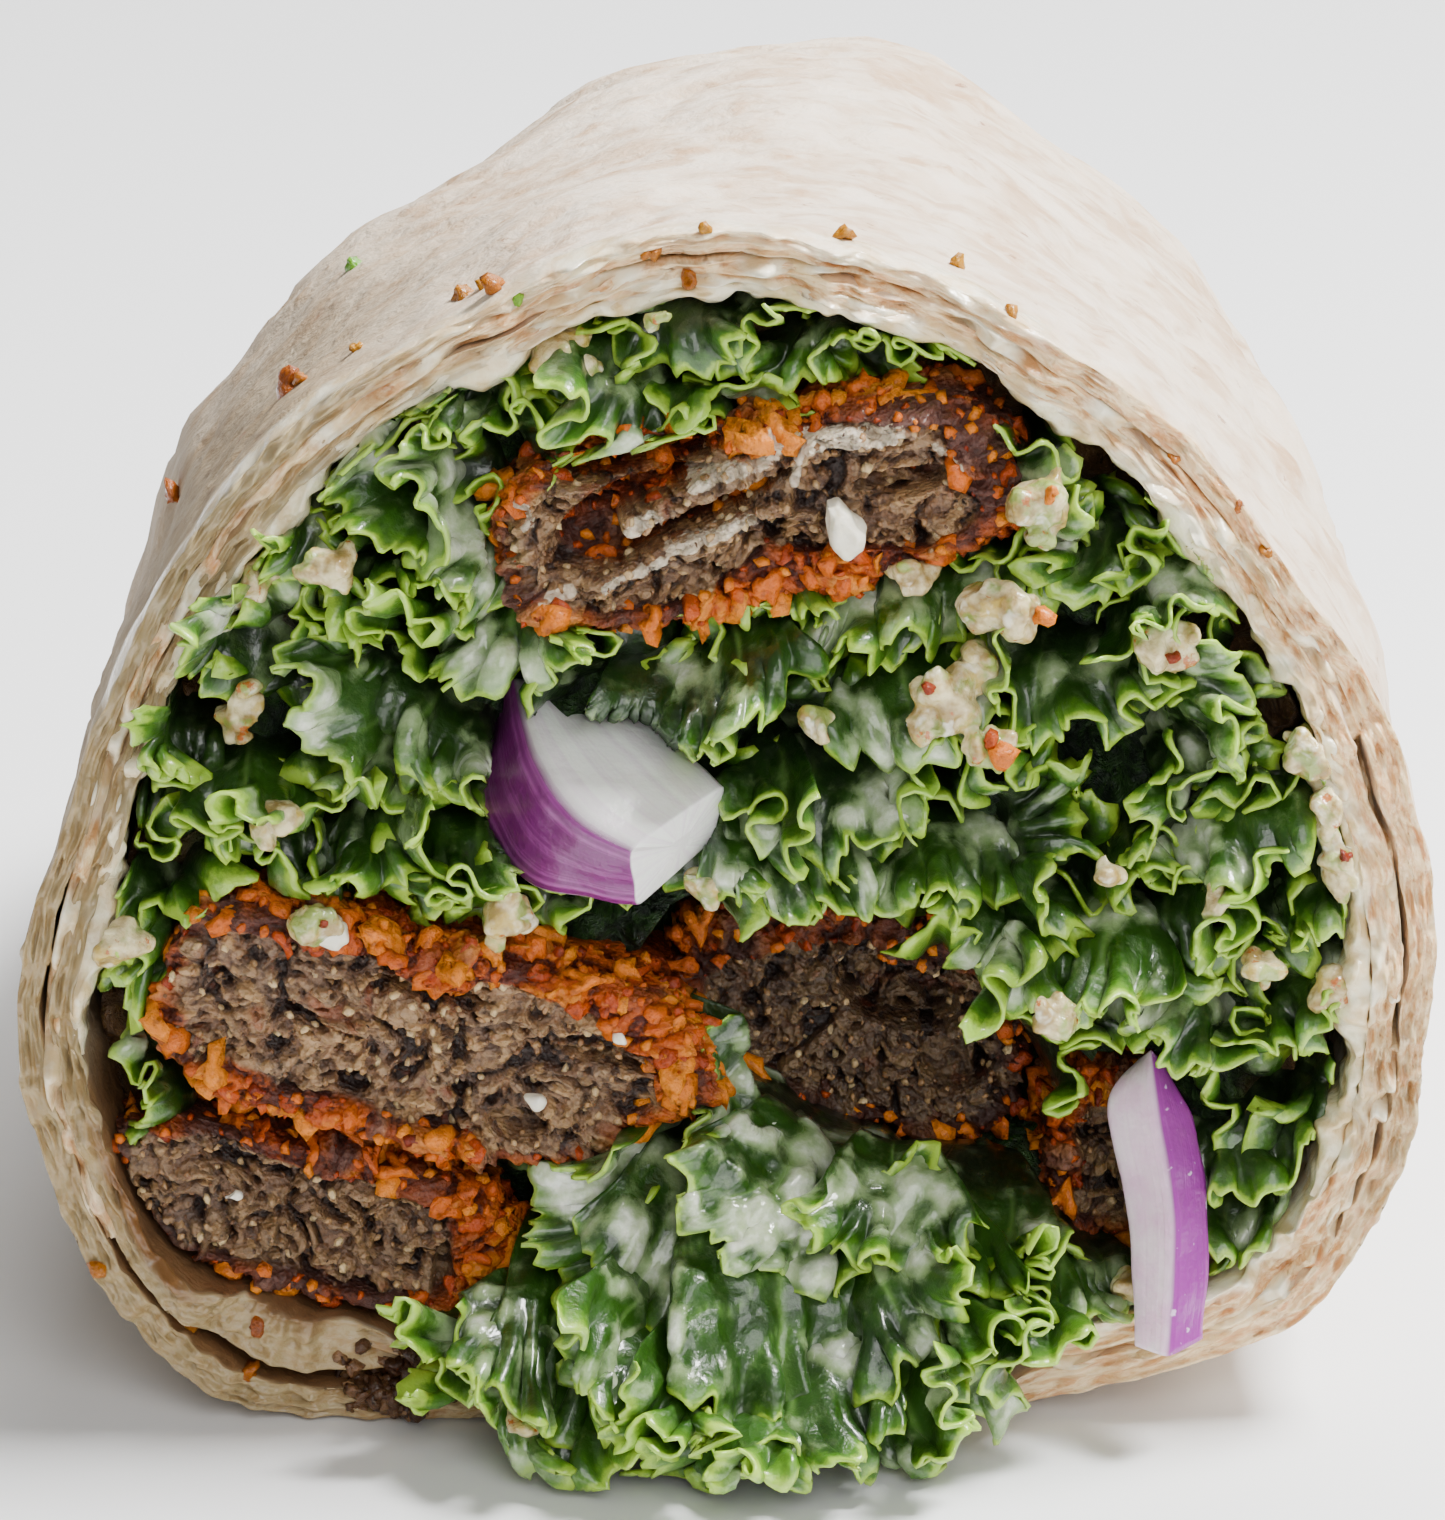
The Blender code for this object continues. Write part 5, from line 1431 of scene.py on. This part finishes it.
def strip_relief(spot, crust, smear, seed):
    """How far a strip's surface stands out, how high that is from 0 to 1, and its grains' own draw."""
    big, big_draw = domes(spot, 1.8, seed + 5)
    middle, middle_draw = domes(spot, 0.9, seed + 6)
    small, small_draw = domes(spot, 0.5, seed + 7)
    grit, grit_draw = domes(spot, 0.62, seed + 11)
    fried = 1.3 * big**0.7 * (0.2 + 0.8 * big_draw) + 0.9 * middle**0.7 * (0.3 + 0.7 * middle_draw)
    fried = fried + 0.35 * small**0.7
    pits = ramp(waves(spot, 1.1, seed + 8), 0.5, 1.1) + 0.6 * ramp(waves(spot, 0.5, seed + 10), 0.4, 1.1)
    meat = 0.7 * middle**0.7 * middle_draw**2 + 0.7 * grit**0.7 * (0.1 + 0.9 * grit_draw) - 0.75 * pits
    parted = 4 * crust * (1 - crust) * ramp(waves(spot, 3.2, seed + 12), -0.4, 0.5)  # where crust meets meat
    relief = fried * crust + meat * (1 - crust) + 0.2 * smear - 0.5 - 0.5 * parted
    # How high the surface stands, lower where crust meets meat; the finish paints it as shade in the lows and
    # light on the highs.
    rise = ramp(fried, 0.3, 2.1) * crust + ramp(meat, -0.7, 0.85) * (1 - crust) - 0.35 * parted
    return relief, rise, np.where(crust > 0.5, 0.5 * big_draw + 0.5 * small_draw, grit_draw)


def patty_strip(name, material, seed):
    """A crumbed strip: a bar with a torn grainy cut end and a crust of fused crumbs, as one closed grid."""
    cx, cz, first, last, half_width, half_height, roll = STRIPS[name]
    outline, thickness, browned = STRIP_EDGES[name]
    around, length = 380, last - first
    angle = np.arange(around) / around * math.tau
    rim = np.stack([np.cos(angle), np.sin(angle)], -1)
    rim /= (np.abs(rim) ** STRIP_SQUARE).sum(-1, keepdims=True) ** (1 / STRIP_SQUARE)
    rim *= (half_width, half_height)
    outward = unit(rim)
    place = np.arctan2(rim[:, 1] / half_height, rim[:, 0] / half_width)
    inner_side = around_strip(thickness, place)

    # Rings of points: share of the way out from the middle, and distance from the cut end.
    stations = [(share, 0.0) for share in np.linspace(0.03, 1.0, 60)]
    stations += [(1.0, y) for y in (0.2, 0.45, 0.7, 1.0, 1.3, 1.6, 2.0, 2.4, 2.9, 3.5, 4.2, 5.0, 6.0, 7.5)]
    stations += [(1.0, y) for y in (9.5, 13.0, 20.0, 34.0, length - 1.5)] + [(0.9, length), (0.5, length)]
    pile = Pile(name + "_dressed", material, STRIP_VALUES)
    for share, y in stations:
        shaped = 1 + (around_strip(outline, place) - 1) * (1 - ramp(y, 3, 14))
        flat = rim * share * shaped[:, None]
        x, z = (turned(flat, roll) + (cx, cz)).T
        at_cut = float(1 - ramp(y, 0.0, 1.2))
        back, smear = torn(name, x, z) if y == 0 else (0.0, np.zeros(around))
        spot = np.stack([x, np.full(around, 0.9 * y) + 0.8 * back, z], -1)
        spot = spot + 0.3 * np.stack([waves(spot, 1.6, seed + k) for k in range(3)], -1)
        from_rim = (1 - share) * np.linalg.norm(rim, axis=1) * shaped + 0.5 * waves(spot, 2.4, seed + 4)
        crust = 1 - ramp(from_rim, inner_side - 0.25, inner_side + 0.25)
        crust = np.maximum(crust, 1 - at_cut) if y > 0 else crust
        if name in GOLDEN_HOLLOWS:
            crust = np.maximum(crust, ramp(back, 1.2, 2.6))
        relief, rise, grain = strip_relief(spot, crust, smear, seed)

        # The relief stands out of the side, and turns towards the viewer on the cut end.
        aside = float(ramp(share, 0.86, 1.0)) if y == 0 else 1.0
        ahead = (1 - aside) + 0.5 * aside * at_cut
        flat = flat + outward * (relief * (0.9 * aside if y < length - 2 else 0.2))[:, None]
        rounded = float(ramp(share, 0.93, 1.02)) * at_cut
        depth = first + y + back * (1 - 0.7 * aside) + rounded - relief * ahead
        brown = around_strip(browned, place) + 0.35 * waves(spot, 1.8, seed + 9)
        # Painted shade in the torn hollows, weaker under dressing and where fried crumb lines the hollow.
        painted_shade = ramp(back, 0.8, 4.0) * (1 - smear) * (0.25 if name in GOLDEN_HOLLOWS else 1.0)
        pile.add(
            held_inside(at_depth(turned(flat, roll) + (cx, cz), depth), soft=0.4), crust=crust, smear=smear,
            brown=np.clip(brown, 0, 1), shade=np.maximum(painted_shade, STRIP_PAINTED_SHADE.get(name, 0.0)), grain=grain,
            rise=rise * (1 - 0.5 * smear) + 0.5 * smear,
        )  # fmt: skip
    ends = {key: (parts[0][0], parts[-1][0]) for key, parts in pile.values.items()}
    pile.add(np.array([pile.points[0].mean(0), pile.points[-1].mean(0)]), **ends)
    return pile.make(capped_rings(len(stations), around))


# What is scattered on the strips: its name, its shapes and finish, how many to a square metre, how far apart
# and how far out in metres, its smallest and largest size, and what is added to the seed.
SCATTERS = (
    ("clumps", "clump", "crumb", 0.9e6, 0.0013, -0.00022, 0.4, 0.95, 2),
    ("crumbs", "crumb", "crumb", 1.6e6, 0.0009, -0.00002, 0.15, 0.42, 0),
    ("grains", "grain", "grain", 2.0e6, 0.0008, -0.00004, 0.12, 0.36, 1),
)


def strip_crumbs(strip, name, tree, kinds, finishes, seed):
    """Clumps and loose bits of fried crumb on the crust near the cut, and pale grains in the cut end."""
    depth = row_points(strip)[:, 1] - STRIPS[name][2]
    crust, brown = attribute_values(strip, "crust"), attribute_values(strip, "brown")
    near = 1 - ramp(depth, 3, 7)
    where = {
        "clumps": crust * near * (1 - 0.8 * ramp(brown, 0.4, 0.7)),
        "crumbs": crust * near,
        "grains": (1 - crust) * (1 - ramp(depth, 0.8, 2.5)),
    }
    return [
        scattered(
            f"{name}_{kind}", strip, where[kind], tree, Shapes=kinds[shape], Density=density, Spacing=spacing,
            Lift=lift, Smallest=smallest, Largest=largest, Seed=seed + more, Finish=finishes[finish],
        )
        for kind, shape, finish, density, spacing, lift, smallest, largest, more in SCATTERS
    ]  # fmt: skip


# ---------------------------------------------------------------- clots, crumbs and dressing

# Clots of chopped nut and cheese in the dressing: x, z, depth behind the cut, width and height.
CLOTS = (
    (14.2, 45.5, -2.6, 6.0, 2.8), (15.9, 50.8, -2.2, 3.2, 4.4), (11.0, 40.8, -2.9, 4.4, 3.6),
    (13.2, 38.4, -3.2, 2.8, 2.0), (9.4, 47.0, -1.2, 2.6, 1.8), (12.8, 42.6, -2.2, 2.6, 2.2),
    (-8.0, 57.4, 1.0, 2.4, 2.4), (-24.1, 45.7, 0.8, 2.6, 2.8), (-24.6, 39.0, 0.6, 2.2, 4.2),
    (-30.6, 27.0, -0.8, 2.4, 4.0), (-20.5, 28.8, -2.2, 3.0, 2.0), (-10.8, 28.9, -2.2, 3.2, 2.4),
    (30.1, 37.7, -0.2, 2.2, 2.6), (31.4, 33.2, -0.6, 2.4, 4.6), (22.7, 43.4, -1.6, 4.0, 2.8),
    (25.2, 49.0, -0.4, 3.0, 2.4), (-1.1, 30.2, -0.8, 2.2, 1.8), (24.7, 29.8, -2.2, 1.6, 2.8),
    (31.2, 24.1, 0.4, 2.4, 2.8), (-10.5, 2.9, -7.4, 2.8, 2.0), (17.0, 24.4, -4.6, 2.4, 2.2),
    (19.6, 31.4, -2.8, 1.2, 2.6), (-19.6, 47.6, -1.8, 2.8, 2.2), (-22.6, 34.2, -2.0, 3.0, 2.2),
    (27.6, 26.2, -1.8, 2.2, 1.8), (4.8, 38.8, -1.4, 2.2, 1.8), (21.2, 7.4, 0.2, 2.4, 1.6),
    (-3.2, 60.4, -0.5, 1.1, 1.8), (29.7, 37.4, -0.8, 3.0, 2.6), (30.6, 34.4, -0.8, 2.2, 2.6),
    (31.7, 31.4, -0.9, 2.6, 2.8),
)  # fmt: skip
# Fried crumbs stuck to them: x, z, depth, radius and tint.
CLOT_CRUMBS = (
    (14.0, 38.0, -3.6, 0.7, 0.8), (13.3, 38.9, -3.6, 0.4, 0.4), (15.8, 45.6, -3.2, 0.5, 0.85),
    (10.4, 41.6, -3.4, 0.3, 0.1), (22.4, 43.0, -2.4, 0.35, 0.1), (11.7, 37.6, -3.4, 0.25, 0.0),
    (16.3, 51.6, -2.6, 0.4, 0.9), (31.6, 31.6, -1.0, 0.3, 0.05), (-30.4, 26.2, -1.4, 0.25, 0.3),
    (-20.2, 28.9, -2.8, 0.25, 0.1), (24.9, 48.6, -0.8, 0.3, 0.05),
)  # fmt: skip
# White bits of cheese: x, z, depth, size and roll. Each has the outline below, in millimetres, at size 1.
CHEESE = (
    (6.1, 49.5, -2.1, 1.0, 0.0), (-9.6, 18.6, -1.6, 0.4, 50.0), (-20.0, 27.9, -2.2, 0.75, 70.0),
    (-25.3, 12.6, 0.0, 0.34, 80.0), (-5.2, 22.2, -2.0, 0.34, 200.0),
)  # fmt: skip
CHEESE_OUTLINE = (
    (-0.95, 1.4), (-0.35, 1.5), (0.3, 0.7), (1.15, -0.1),
    (0.95, -1.0), (0.1, -1.4), (-0.7, -0.95), (-0.75, 0.2),
)  # fmt: skip
# Specks of leaf and fried crumbs on the flatbread's rim and wall: x, z, depth, radius and tint.
LEAF_SPECKS = ((-4.7, 62.6, 0.0, 0.34, 0.8), (-10.2, 60.8, 0.0, 0.3, 0.5), (-18.2, 62.6, 0.0, 0.5, 0.2))
RIM_CRUMBS = (
    (-27.6, 5.4, -0.6, 0.4, 0.75), (-24.2, 5.6, -0.6, 0.5, 0.2),
    (-12.8, 60.9, 0.3, 0.62, 0.8), (-11.2, 61.4, 0.1, 0.5, 0.6), (-11.8, 61.3, 0.9, 0.4, 0.9),
    (-21.4, 56.2, 0.6, 0.75, 0.35), (-27.3, 50.2, 0.9, 0.62, 0.4), (-20.9, 56.6, 0.2, 0.4, 0.7),
    (-3.6, 63.4, -0.3, 0.4, 0.7), (-1.6, 61.9, -0.9, 0.42, 0.55), (5.9, 64.1, -0.2, 0.42, 0.85),
    (11.6, 62.6, 0.2, 0.36, 1.0), (14.2, 60.2, -0.2, 0.34, 0.85), (-0.9, 64.2, 0.3, 0.3, 0.9),
    (-1.9, 60.7, -1.0, 0.5, 0.95), (22.5, 52.6, 0.1, 0.3, 0.6), (25.8, 49.9, 0.4, 0.26, 0.5),
    (27.3, 47.7, 0.3, 0.3, 0.75), (-31.2, 42.2, 1.4, 0.36, 0.5), (-18.2, 58.2, 0.3, 0.28, 0.9),
    (-32.6, 8.6, -0.4, 0.5, 0.7), (-29.6, 4.2, -0.8, 0.42, 0.6), (-24.6, 3.0, -1.0, 0.5, 0.5),
)  # fmt: skip


def fused(name, bm, material, voxel, smoothing):
    """The lumps in a bmesh as one object, with one closed, smoothed surface."""
    mesh = bpy.data.meshes.new(name)
    bm.to_mesh(mesh)
    bm.free()
    obj = add_object(name, mesh, material)
    fuse = obj.modifiers.new("Fuse", "REMESH")
    fuse.mode = "VOXEL"
    fuse.voxel_size = voxel * MM
    even = obj.modifiers.new("Even", "SMOOTH")
    even.factor = 0.5
    even.iterations = smoothing
    made = plain_mesh(obj)
    obj.modifiers.clear()
    obj.data = made
    made.shade_smooth()
    return obj


def clots(material):
    """Cream lumps between the leaves, each a cluster of rounded bits held together by dressing."""
    rng = np.random.default_rng(SEED + 3)
    bm = bmesh.new()
    for x, z, y, width, height in CLOTS:
        for _ in range(int(5 + 2.2 * width)):
            away = rng.normal(size=3)
            away *= rng.uniform(0.2, 1.0) / np.linalg.norm(away)
            place = np.array((x, y, z)) + away * (0.42 * width, 0.7, 0.42 * height)
            size = rng.uniform(0.14, 0.32) * min(width, height, 3.0) + 0.1
            made = bmesh.ops.create_icosphere(bm, subdivisions=2, radius=1.0)["verts"]
            shape = np.array([vert.co for vert in made])
            shape = shape * (1 + 0.3 * waves(shape, 1.2, int(rng.integers(1e6))))[:, None]
            shape = to_row(held_inside(place + shape * size * rng.uniform(0.6, 1.5, 3), soft=0.4))
            for vert, point in zip(made, shape):
                vert.co = point
    return roughened(fused("cream_clots", bm, material, 0.16, 3), (0.08, 0.9, 91), (0.03, 0.4, 92))


def cheese_bits(material):
    """Small broken pieces of white cheese with soft edges."""
    bm = bmesh.new()
    for x, z, y, size, roll in CHEESE:
        flat = turned(np.array(CHEESE_OUTLINE), roll) * size
        corners = []
        for behind, share in ((-0.75, 0.55), (-0.35, 0.95), (0.9, 1.0)):
            points = [(x + a * share, y + behind * size, z + b * share) for a, b in flat]
            corners += [bm.verts.new(to_row(point)) for point in points]
        hull = bmesh.ops.convex_hull(bm, input=corners)
        loose = {item for key in ("geom_interior", "geom_unused") for item in hull[key]}
        bmesh.ops.delete(bm, geom=[v for v in loose if isinstance(v, bmesh.types.BMVert)], context="VERTS")
    return roughened(fused("cheese_bits", bm, material, 0.08, 5), (0.08, 0.8, 93))


def dropped_crumbs(name, material, surface, places):
    """Crumbs that lie on a surface, each set where the photograph's side sees it."""
    rng = np.random.default_rng(SEED + 5)
    tree = surface_tree(surface)
    pile = Pile(name, material, ("tint",))
    for x, z, y, radius, tint in places:
        line = (Vector((x, y, z)) - Vector(VIEW_FROM)).normalized()
        place, facing = tree.ray_cast(Vector(VIEW_FROM), line)[:2]
        if place is None:
            continue
        shape = lump("crumb_form", rng, rough=0.5, size=0.9)
        points = np.array([vert.co for vert in shape.data.vertices]) / MM * radius + place
        points += facing * 0.35 * radius
        points[:, 2] += max(0.0, -points[:, 2].min())
        pile.add(points, [tuple(face.vertices) for face in shape.data.polygons], tint=tint)
        bpy.data.objects.remove(shape)
    return pile.make()


def fallen_bits():
    """Dark crumbs in a small heap under the flatbread's inner end, left of the spilt leaves."""
    rng = np.random.default_rng(SEED + 6)
    middle, spread = np.array((-17.0, 1.9)), np.array((2.6, 1.7))
    spots = [middle + spread * rng.normal(0, 0.5, 2) for _ in range(110)]
    return [(*spot, -0.6, rng.uniform(0.22, 0.5), rng.uniform(0, 0.6) ** 1.4) for spot in spots]


# The dressing bead's section, as depth under the flatbread's inner side and distance behind the cut: where it
# starts, what the bead's size adds, and what its swelling towards the viewer adds.
BEAD_START = ((-0.6, 0.3), (-0.25, 0.15), (0.0, 0.2), (0.1, 1.0), (0.05, 2.8), (-0.1, 4.4), (-0.5, 3.0))
BEAD_SIZE = ((0.0, 0.0), (0.1, 0.0), (0.6, 0.0), (1.0, 0.3), (0.7, 0.5), (0.15, 0.2), (0.0, 0.0))
BEAD_SWELL = ((0.0, 0.0), (0.0, -1.0), (0.0, -0.7), (0.0, 0.0), (0.0, 0.0), (0.0, 0.0), (0.0, 0.0))


def dressing_edge(material):
    """The bead of dressing squeezed out along the flatbread's inner face at the cut, lumpy on its inside."""
    turns, rows = np.linspace(0.1, 0.7, 1300), 18
    along = turns * ROLL_STRETCH
    body = 0.45
    for height, size, seed in ((0.5, 7.0, 65), (0.22, 2.6, 66), (0.08, 1.0, 67)):
        body = body + height * waves((along,), size, seed)
    body = np.clip(body, 0.05, 1.5) * rise_and_fall(turns, 0.1, 0.13, 0.66, 0.7)
    forward = 0.15 + 0.3 * ramp(waves((along,), 3.6, 68), -0.5, 1.0)
    innermost = np.where(turns + 1 < ROLL_TURNS, turns + 1, turns)
    inner, edge = wall_depth(turns), edge_line(innermost)
    points = []
    for share in np.arange(rows) / rows:
        start, size, swell = (on_curve(part, np.array(share)) for part in (BEAD_START, BEAD_SIZE, BEAD_SWELL))
        rough = 0.1 * waves((along, np.full_like(along, 9 * share)), 1.1, 69)
        depth = inner + start[0] + size[0] * body + swell[0] * forward + rough
        y = edge + start[1] + size[1] * body + swell[1] * forward + rough
        points.append(at_depth(under_skin(turns, 0.0, depth), y, 0.05))
    faces = band_faces(rows, len(turns))
    return outward_faces(mesh_object("dressing_edge", np.concatenate(points), faces, material))


# ---------------------------------------------------------------- onion


def onion_piece(name, material):
    """A piece of an onion layer, lofted smoothly between four-cornered sections with rounded corners.

    The side between the sections' first two corners is its purple skin.
    """
    sections = np.array(ONIONS[name])
    steps, side_steps = 44, 12
    places = np.linspace(0, len(sections) - 1, steps)
    i = np.minimum(np.floor(places).astype(int), len(sections) - 2)
    held = (sections[np.clip(i + k, 0, len(sections) - 1)] for k in (-1, 0, 1, 2))
    corners = between_points(*held, (places - i)[:, None, None])
    middle = corners.mean(1)
    ring, skins, lines = [], [], []
    for k in range(4):
        low, high = corners[:, k], corners[:, (k + 1) % 4]
        for s in (np.arange(side_steps) + 0.5) / side_steps:
            edge = low + (high - low) * s
            corner = 1 - min(s, 1 - s) * 2
            ring.append(edge + (middle - edge) * 0.07 * corner**6)
            from_skin = (0.0, s, 1.0, 1 - s)[k]
            skins.append(1.0 if k == 0 else 0.55 * max(0.0, 1 - 7 * from_skin))
            lines.append(k + s)
    ring = np.stack(ring, 1)
    ring = ring + unit(ring - middle[:, None]) * (waves(ring, 2.0, 81) * 0.06)[..., None]
    caps = []
    for end, inner in ((0, 1), (-1, -2)):
        centre = ring[end].mean(0)
        push = unit(centre - ring[inner].mean(0)) * 0.25
        shares = (0.96, 0.75, 0.5, 0.25)
        caps.append([centre + (ring[end] - centre) * share + push * (1 - share) for share in shares])
    blush = 1.0 if name == "onion_slice" else 0.0
    pile = Pile(name + "_dressed", material, ONION_VALUES)
    for row in caps[0][::-1]:
        pile.add(row, line=lines, blush=blush)
    for row in ring:
        pile.add(row, skin=skins, line=lines, blush=blush)
    for row in caps[1]:
        pile.add(row, line=lines, blush=blush)
    faces = capped_rings(len(pile.points), len(lines))
    pile.add(np.array([pile.points[0].mean(0), pile.points[-1].mean(0)]), blush=blush)
    return outward_faces(pile.make(faces))


# ---------------------------------------------------------------- the room


# Soft lamps: place and aim in metres, size and power.
LAMPS = {
    "window": ((0.24, 0.0, 0.48), (0, -0.02, 0.03), 0.15, 9.5),
    "front_fill": ((0.14, -0.6, 0.40), (0, -0.03, 0.03), 0.45, 3.3),
    "back_light": ((0.15, 0.5, 0.45), (0, 0, 0.05), 0.4, 3.0),
}


def stage():
    """A pale floor and soft light."""
    bpy.ops.mesh.primitive_plane_add(size=4.0, location=(0, 0, -0.2 * MM))
    floor = bpy.context.object
    floor.name = "floor"
    f = Finish("pale_floor")
    f.set(Base_Color=(0.86, 0.86, 0.86), Roughness=0.8)
    floor.data.materials.append(f.material)

    world = bpy.data.worlds.new("soft_room")
    world.use_nodes = True
    world.node_tree.nodes["Background"].inputs["Color"].default_value = (1.0, 1.0, 1.0, 1.0)
    world.node_tree.nodes["Background"].inputs["Strength"].default_value = 0.2
    bpy.context.scene.world = world

    for name, (place, aim, size, power) in LAMPS.items():
        light = bpy.data.lights.new(name, "AREA")
        light.size = size
        light.energy = power
        obj = bpy.data.objects.new(name, light)
        obj.location = place
        obj.rotation_euler = (Vector(aim) - Vector(place)).to_track_quat("-Z", "Y").to_euler()
        bpy.context.scene.collection.objects.link(obj)


def photo_camera():
    """The camera at the photograph's angle."""
    camera = bpy.data.cameras.new("camera")
    camera.sensor_width = 36.0
    camera.lens = 179.53
    camera.clip_start = 0.01
    obj = bpy.data.objects.new("camera", camera)
    obj.location = to_row(CAMERA_AT)
    obj.rotation_euler = (math.radians(90) - VIEW_TILT, 0, 0)
    bpy.context.scene.collection.objects.link(obj)
    bpy.context.scene.camera = obj


# ---------------------------------------------------------------- the wrap


# The small shapes that are scattered: how many of each kind, and their form.
SMALL_SHAPES = {
    "clump": ("crumb_clump", 8, {"stretch": (1, 0.8, 0.7), "rough": 0.55, "size": 0.8, "subdivisions": 2}),
    "crumb": ("fried_crumb", 6, {"rough": 0.4, "size": 0.9, "subdivisions": 1}),
    "grain": ("grain", 4, {"stretch": (1, 0.8, 0.6), "rough": 0.25, "subdivisions": 1}),
}
# The finishes of small things: colours from tint 0 to tint 1, roughness and gloss.
SMALL_FINISHES = {
    "crumb": ("fried_crumb", (
        (0.16, 0.014, 0.001), (0.38, 0.048, 0.001), (0.56, 0.110, 0.002), (0.68, 0.20, 0.006),
    ), 0.42, 0.1),
    "toasted": ("toasted_crumb", (
        (0.16, 0.028, 0.0), (0.28, 0.062, 0.0), (0.35, 0.105, 0.0), (0.42, 0.19, 0.0),
    ), 0.35, 0.25),
    "leaf": ("leaf_speck", ((0.10, 0.30, 0.008), (0.26, 0.50, 0.02)), 0.3, 0.3),
    "grain": ("patty_grain", (
        (0.05, 0.019, 0.008), (0.17, 0.080, 0.034), (0.36, 0.20, 0.085), (0.62, 0.45, 0.23),
    ), 0.3, 0.3),
}  # fmt: skip


def main():
    photo_camera()
    stage()
    rng = np.random.default_rng(SEED + 1)
    tree = scatter_tree()
    kinds = {kind: lump_set(name, count, rng, **form) for kind, (name, count, form) in SMALL_SHAPES.items()}
    finishes = {kind: crumb_finish(*look) for kind, look in SMALL_FINISHES.items()}

    bread = flatbread_finish()
    sheet = rolled_sheet(bread)
    for name, finish, places, slot, node in (
        ("rim_crumbs", "toasted", RIM_CRUMBS, "crumbed_patty", "tortilla"),
        ("leaf_specks", "leaf", LEAF_SPECKS, "kale", "tortilla"),
        ("fallen_bits", "grain", fallen_bits(), "crumbed_patty", "kale_salad"),
    ):
        settle(dropped_crumbs(name, finishes[finish], sheet, places), slot, node)
    for piece in (sheet, paste_between(bread), tucked_end(bread), dressing_edge(dressing_finish())):
        settle(piece, "flatbread", "tortilla")

    onion = onion_finish()
    onions = [onion_piece(name, onion) for name in ONIONS]
    for name, piece in zip(ONIONS, onions):
        settle(piece, "red_onion", name)

    sight = Sight(zip(onions, ONION_COVERED))
    for piece in (heap_core(heap_core_finish()), *kale_leaves(kale_finish(), sight)):
        settle(piece, "kale", "kale_salad")
    cream = settle(clots(clot_finish()), "kale", "kale_salad")
    stuck = dropped_crumbs("clot_crumbs", finishes["crumb"], cream, CLOT_CRUMBS)
    settle(stuck, "crumbed_patty", "kale_salad")
    settle(cheese_bits(cheese_finish()), "kale", "kale_salad")

    patty = patty_finish()
    for i, name in enumerate(STRIPS):
        strip = patty_strip(name, patty, 100 + 20 * i)
        for piece in strip_crumbs(strip, name, tree, kinds, finishes, 7 * i + 1):
            settle(piece, "crumbed_patty", name)
        settle(strip, "crumbed_patty", name)


main()
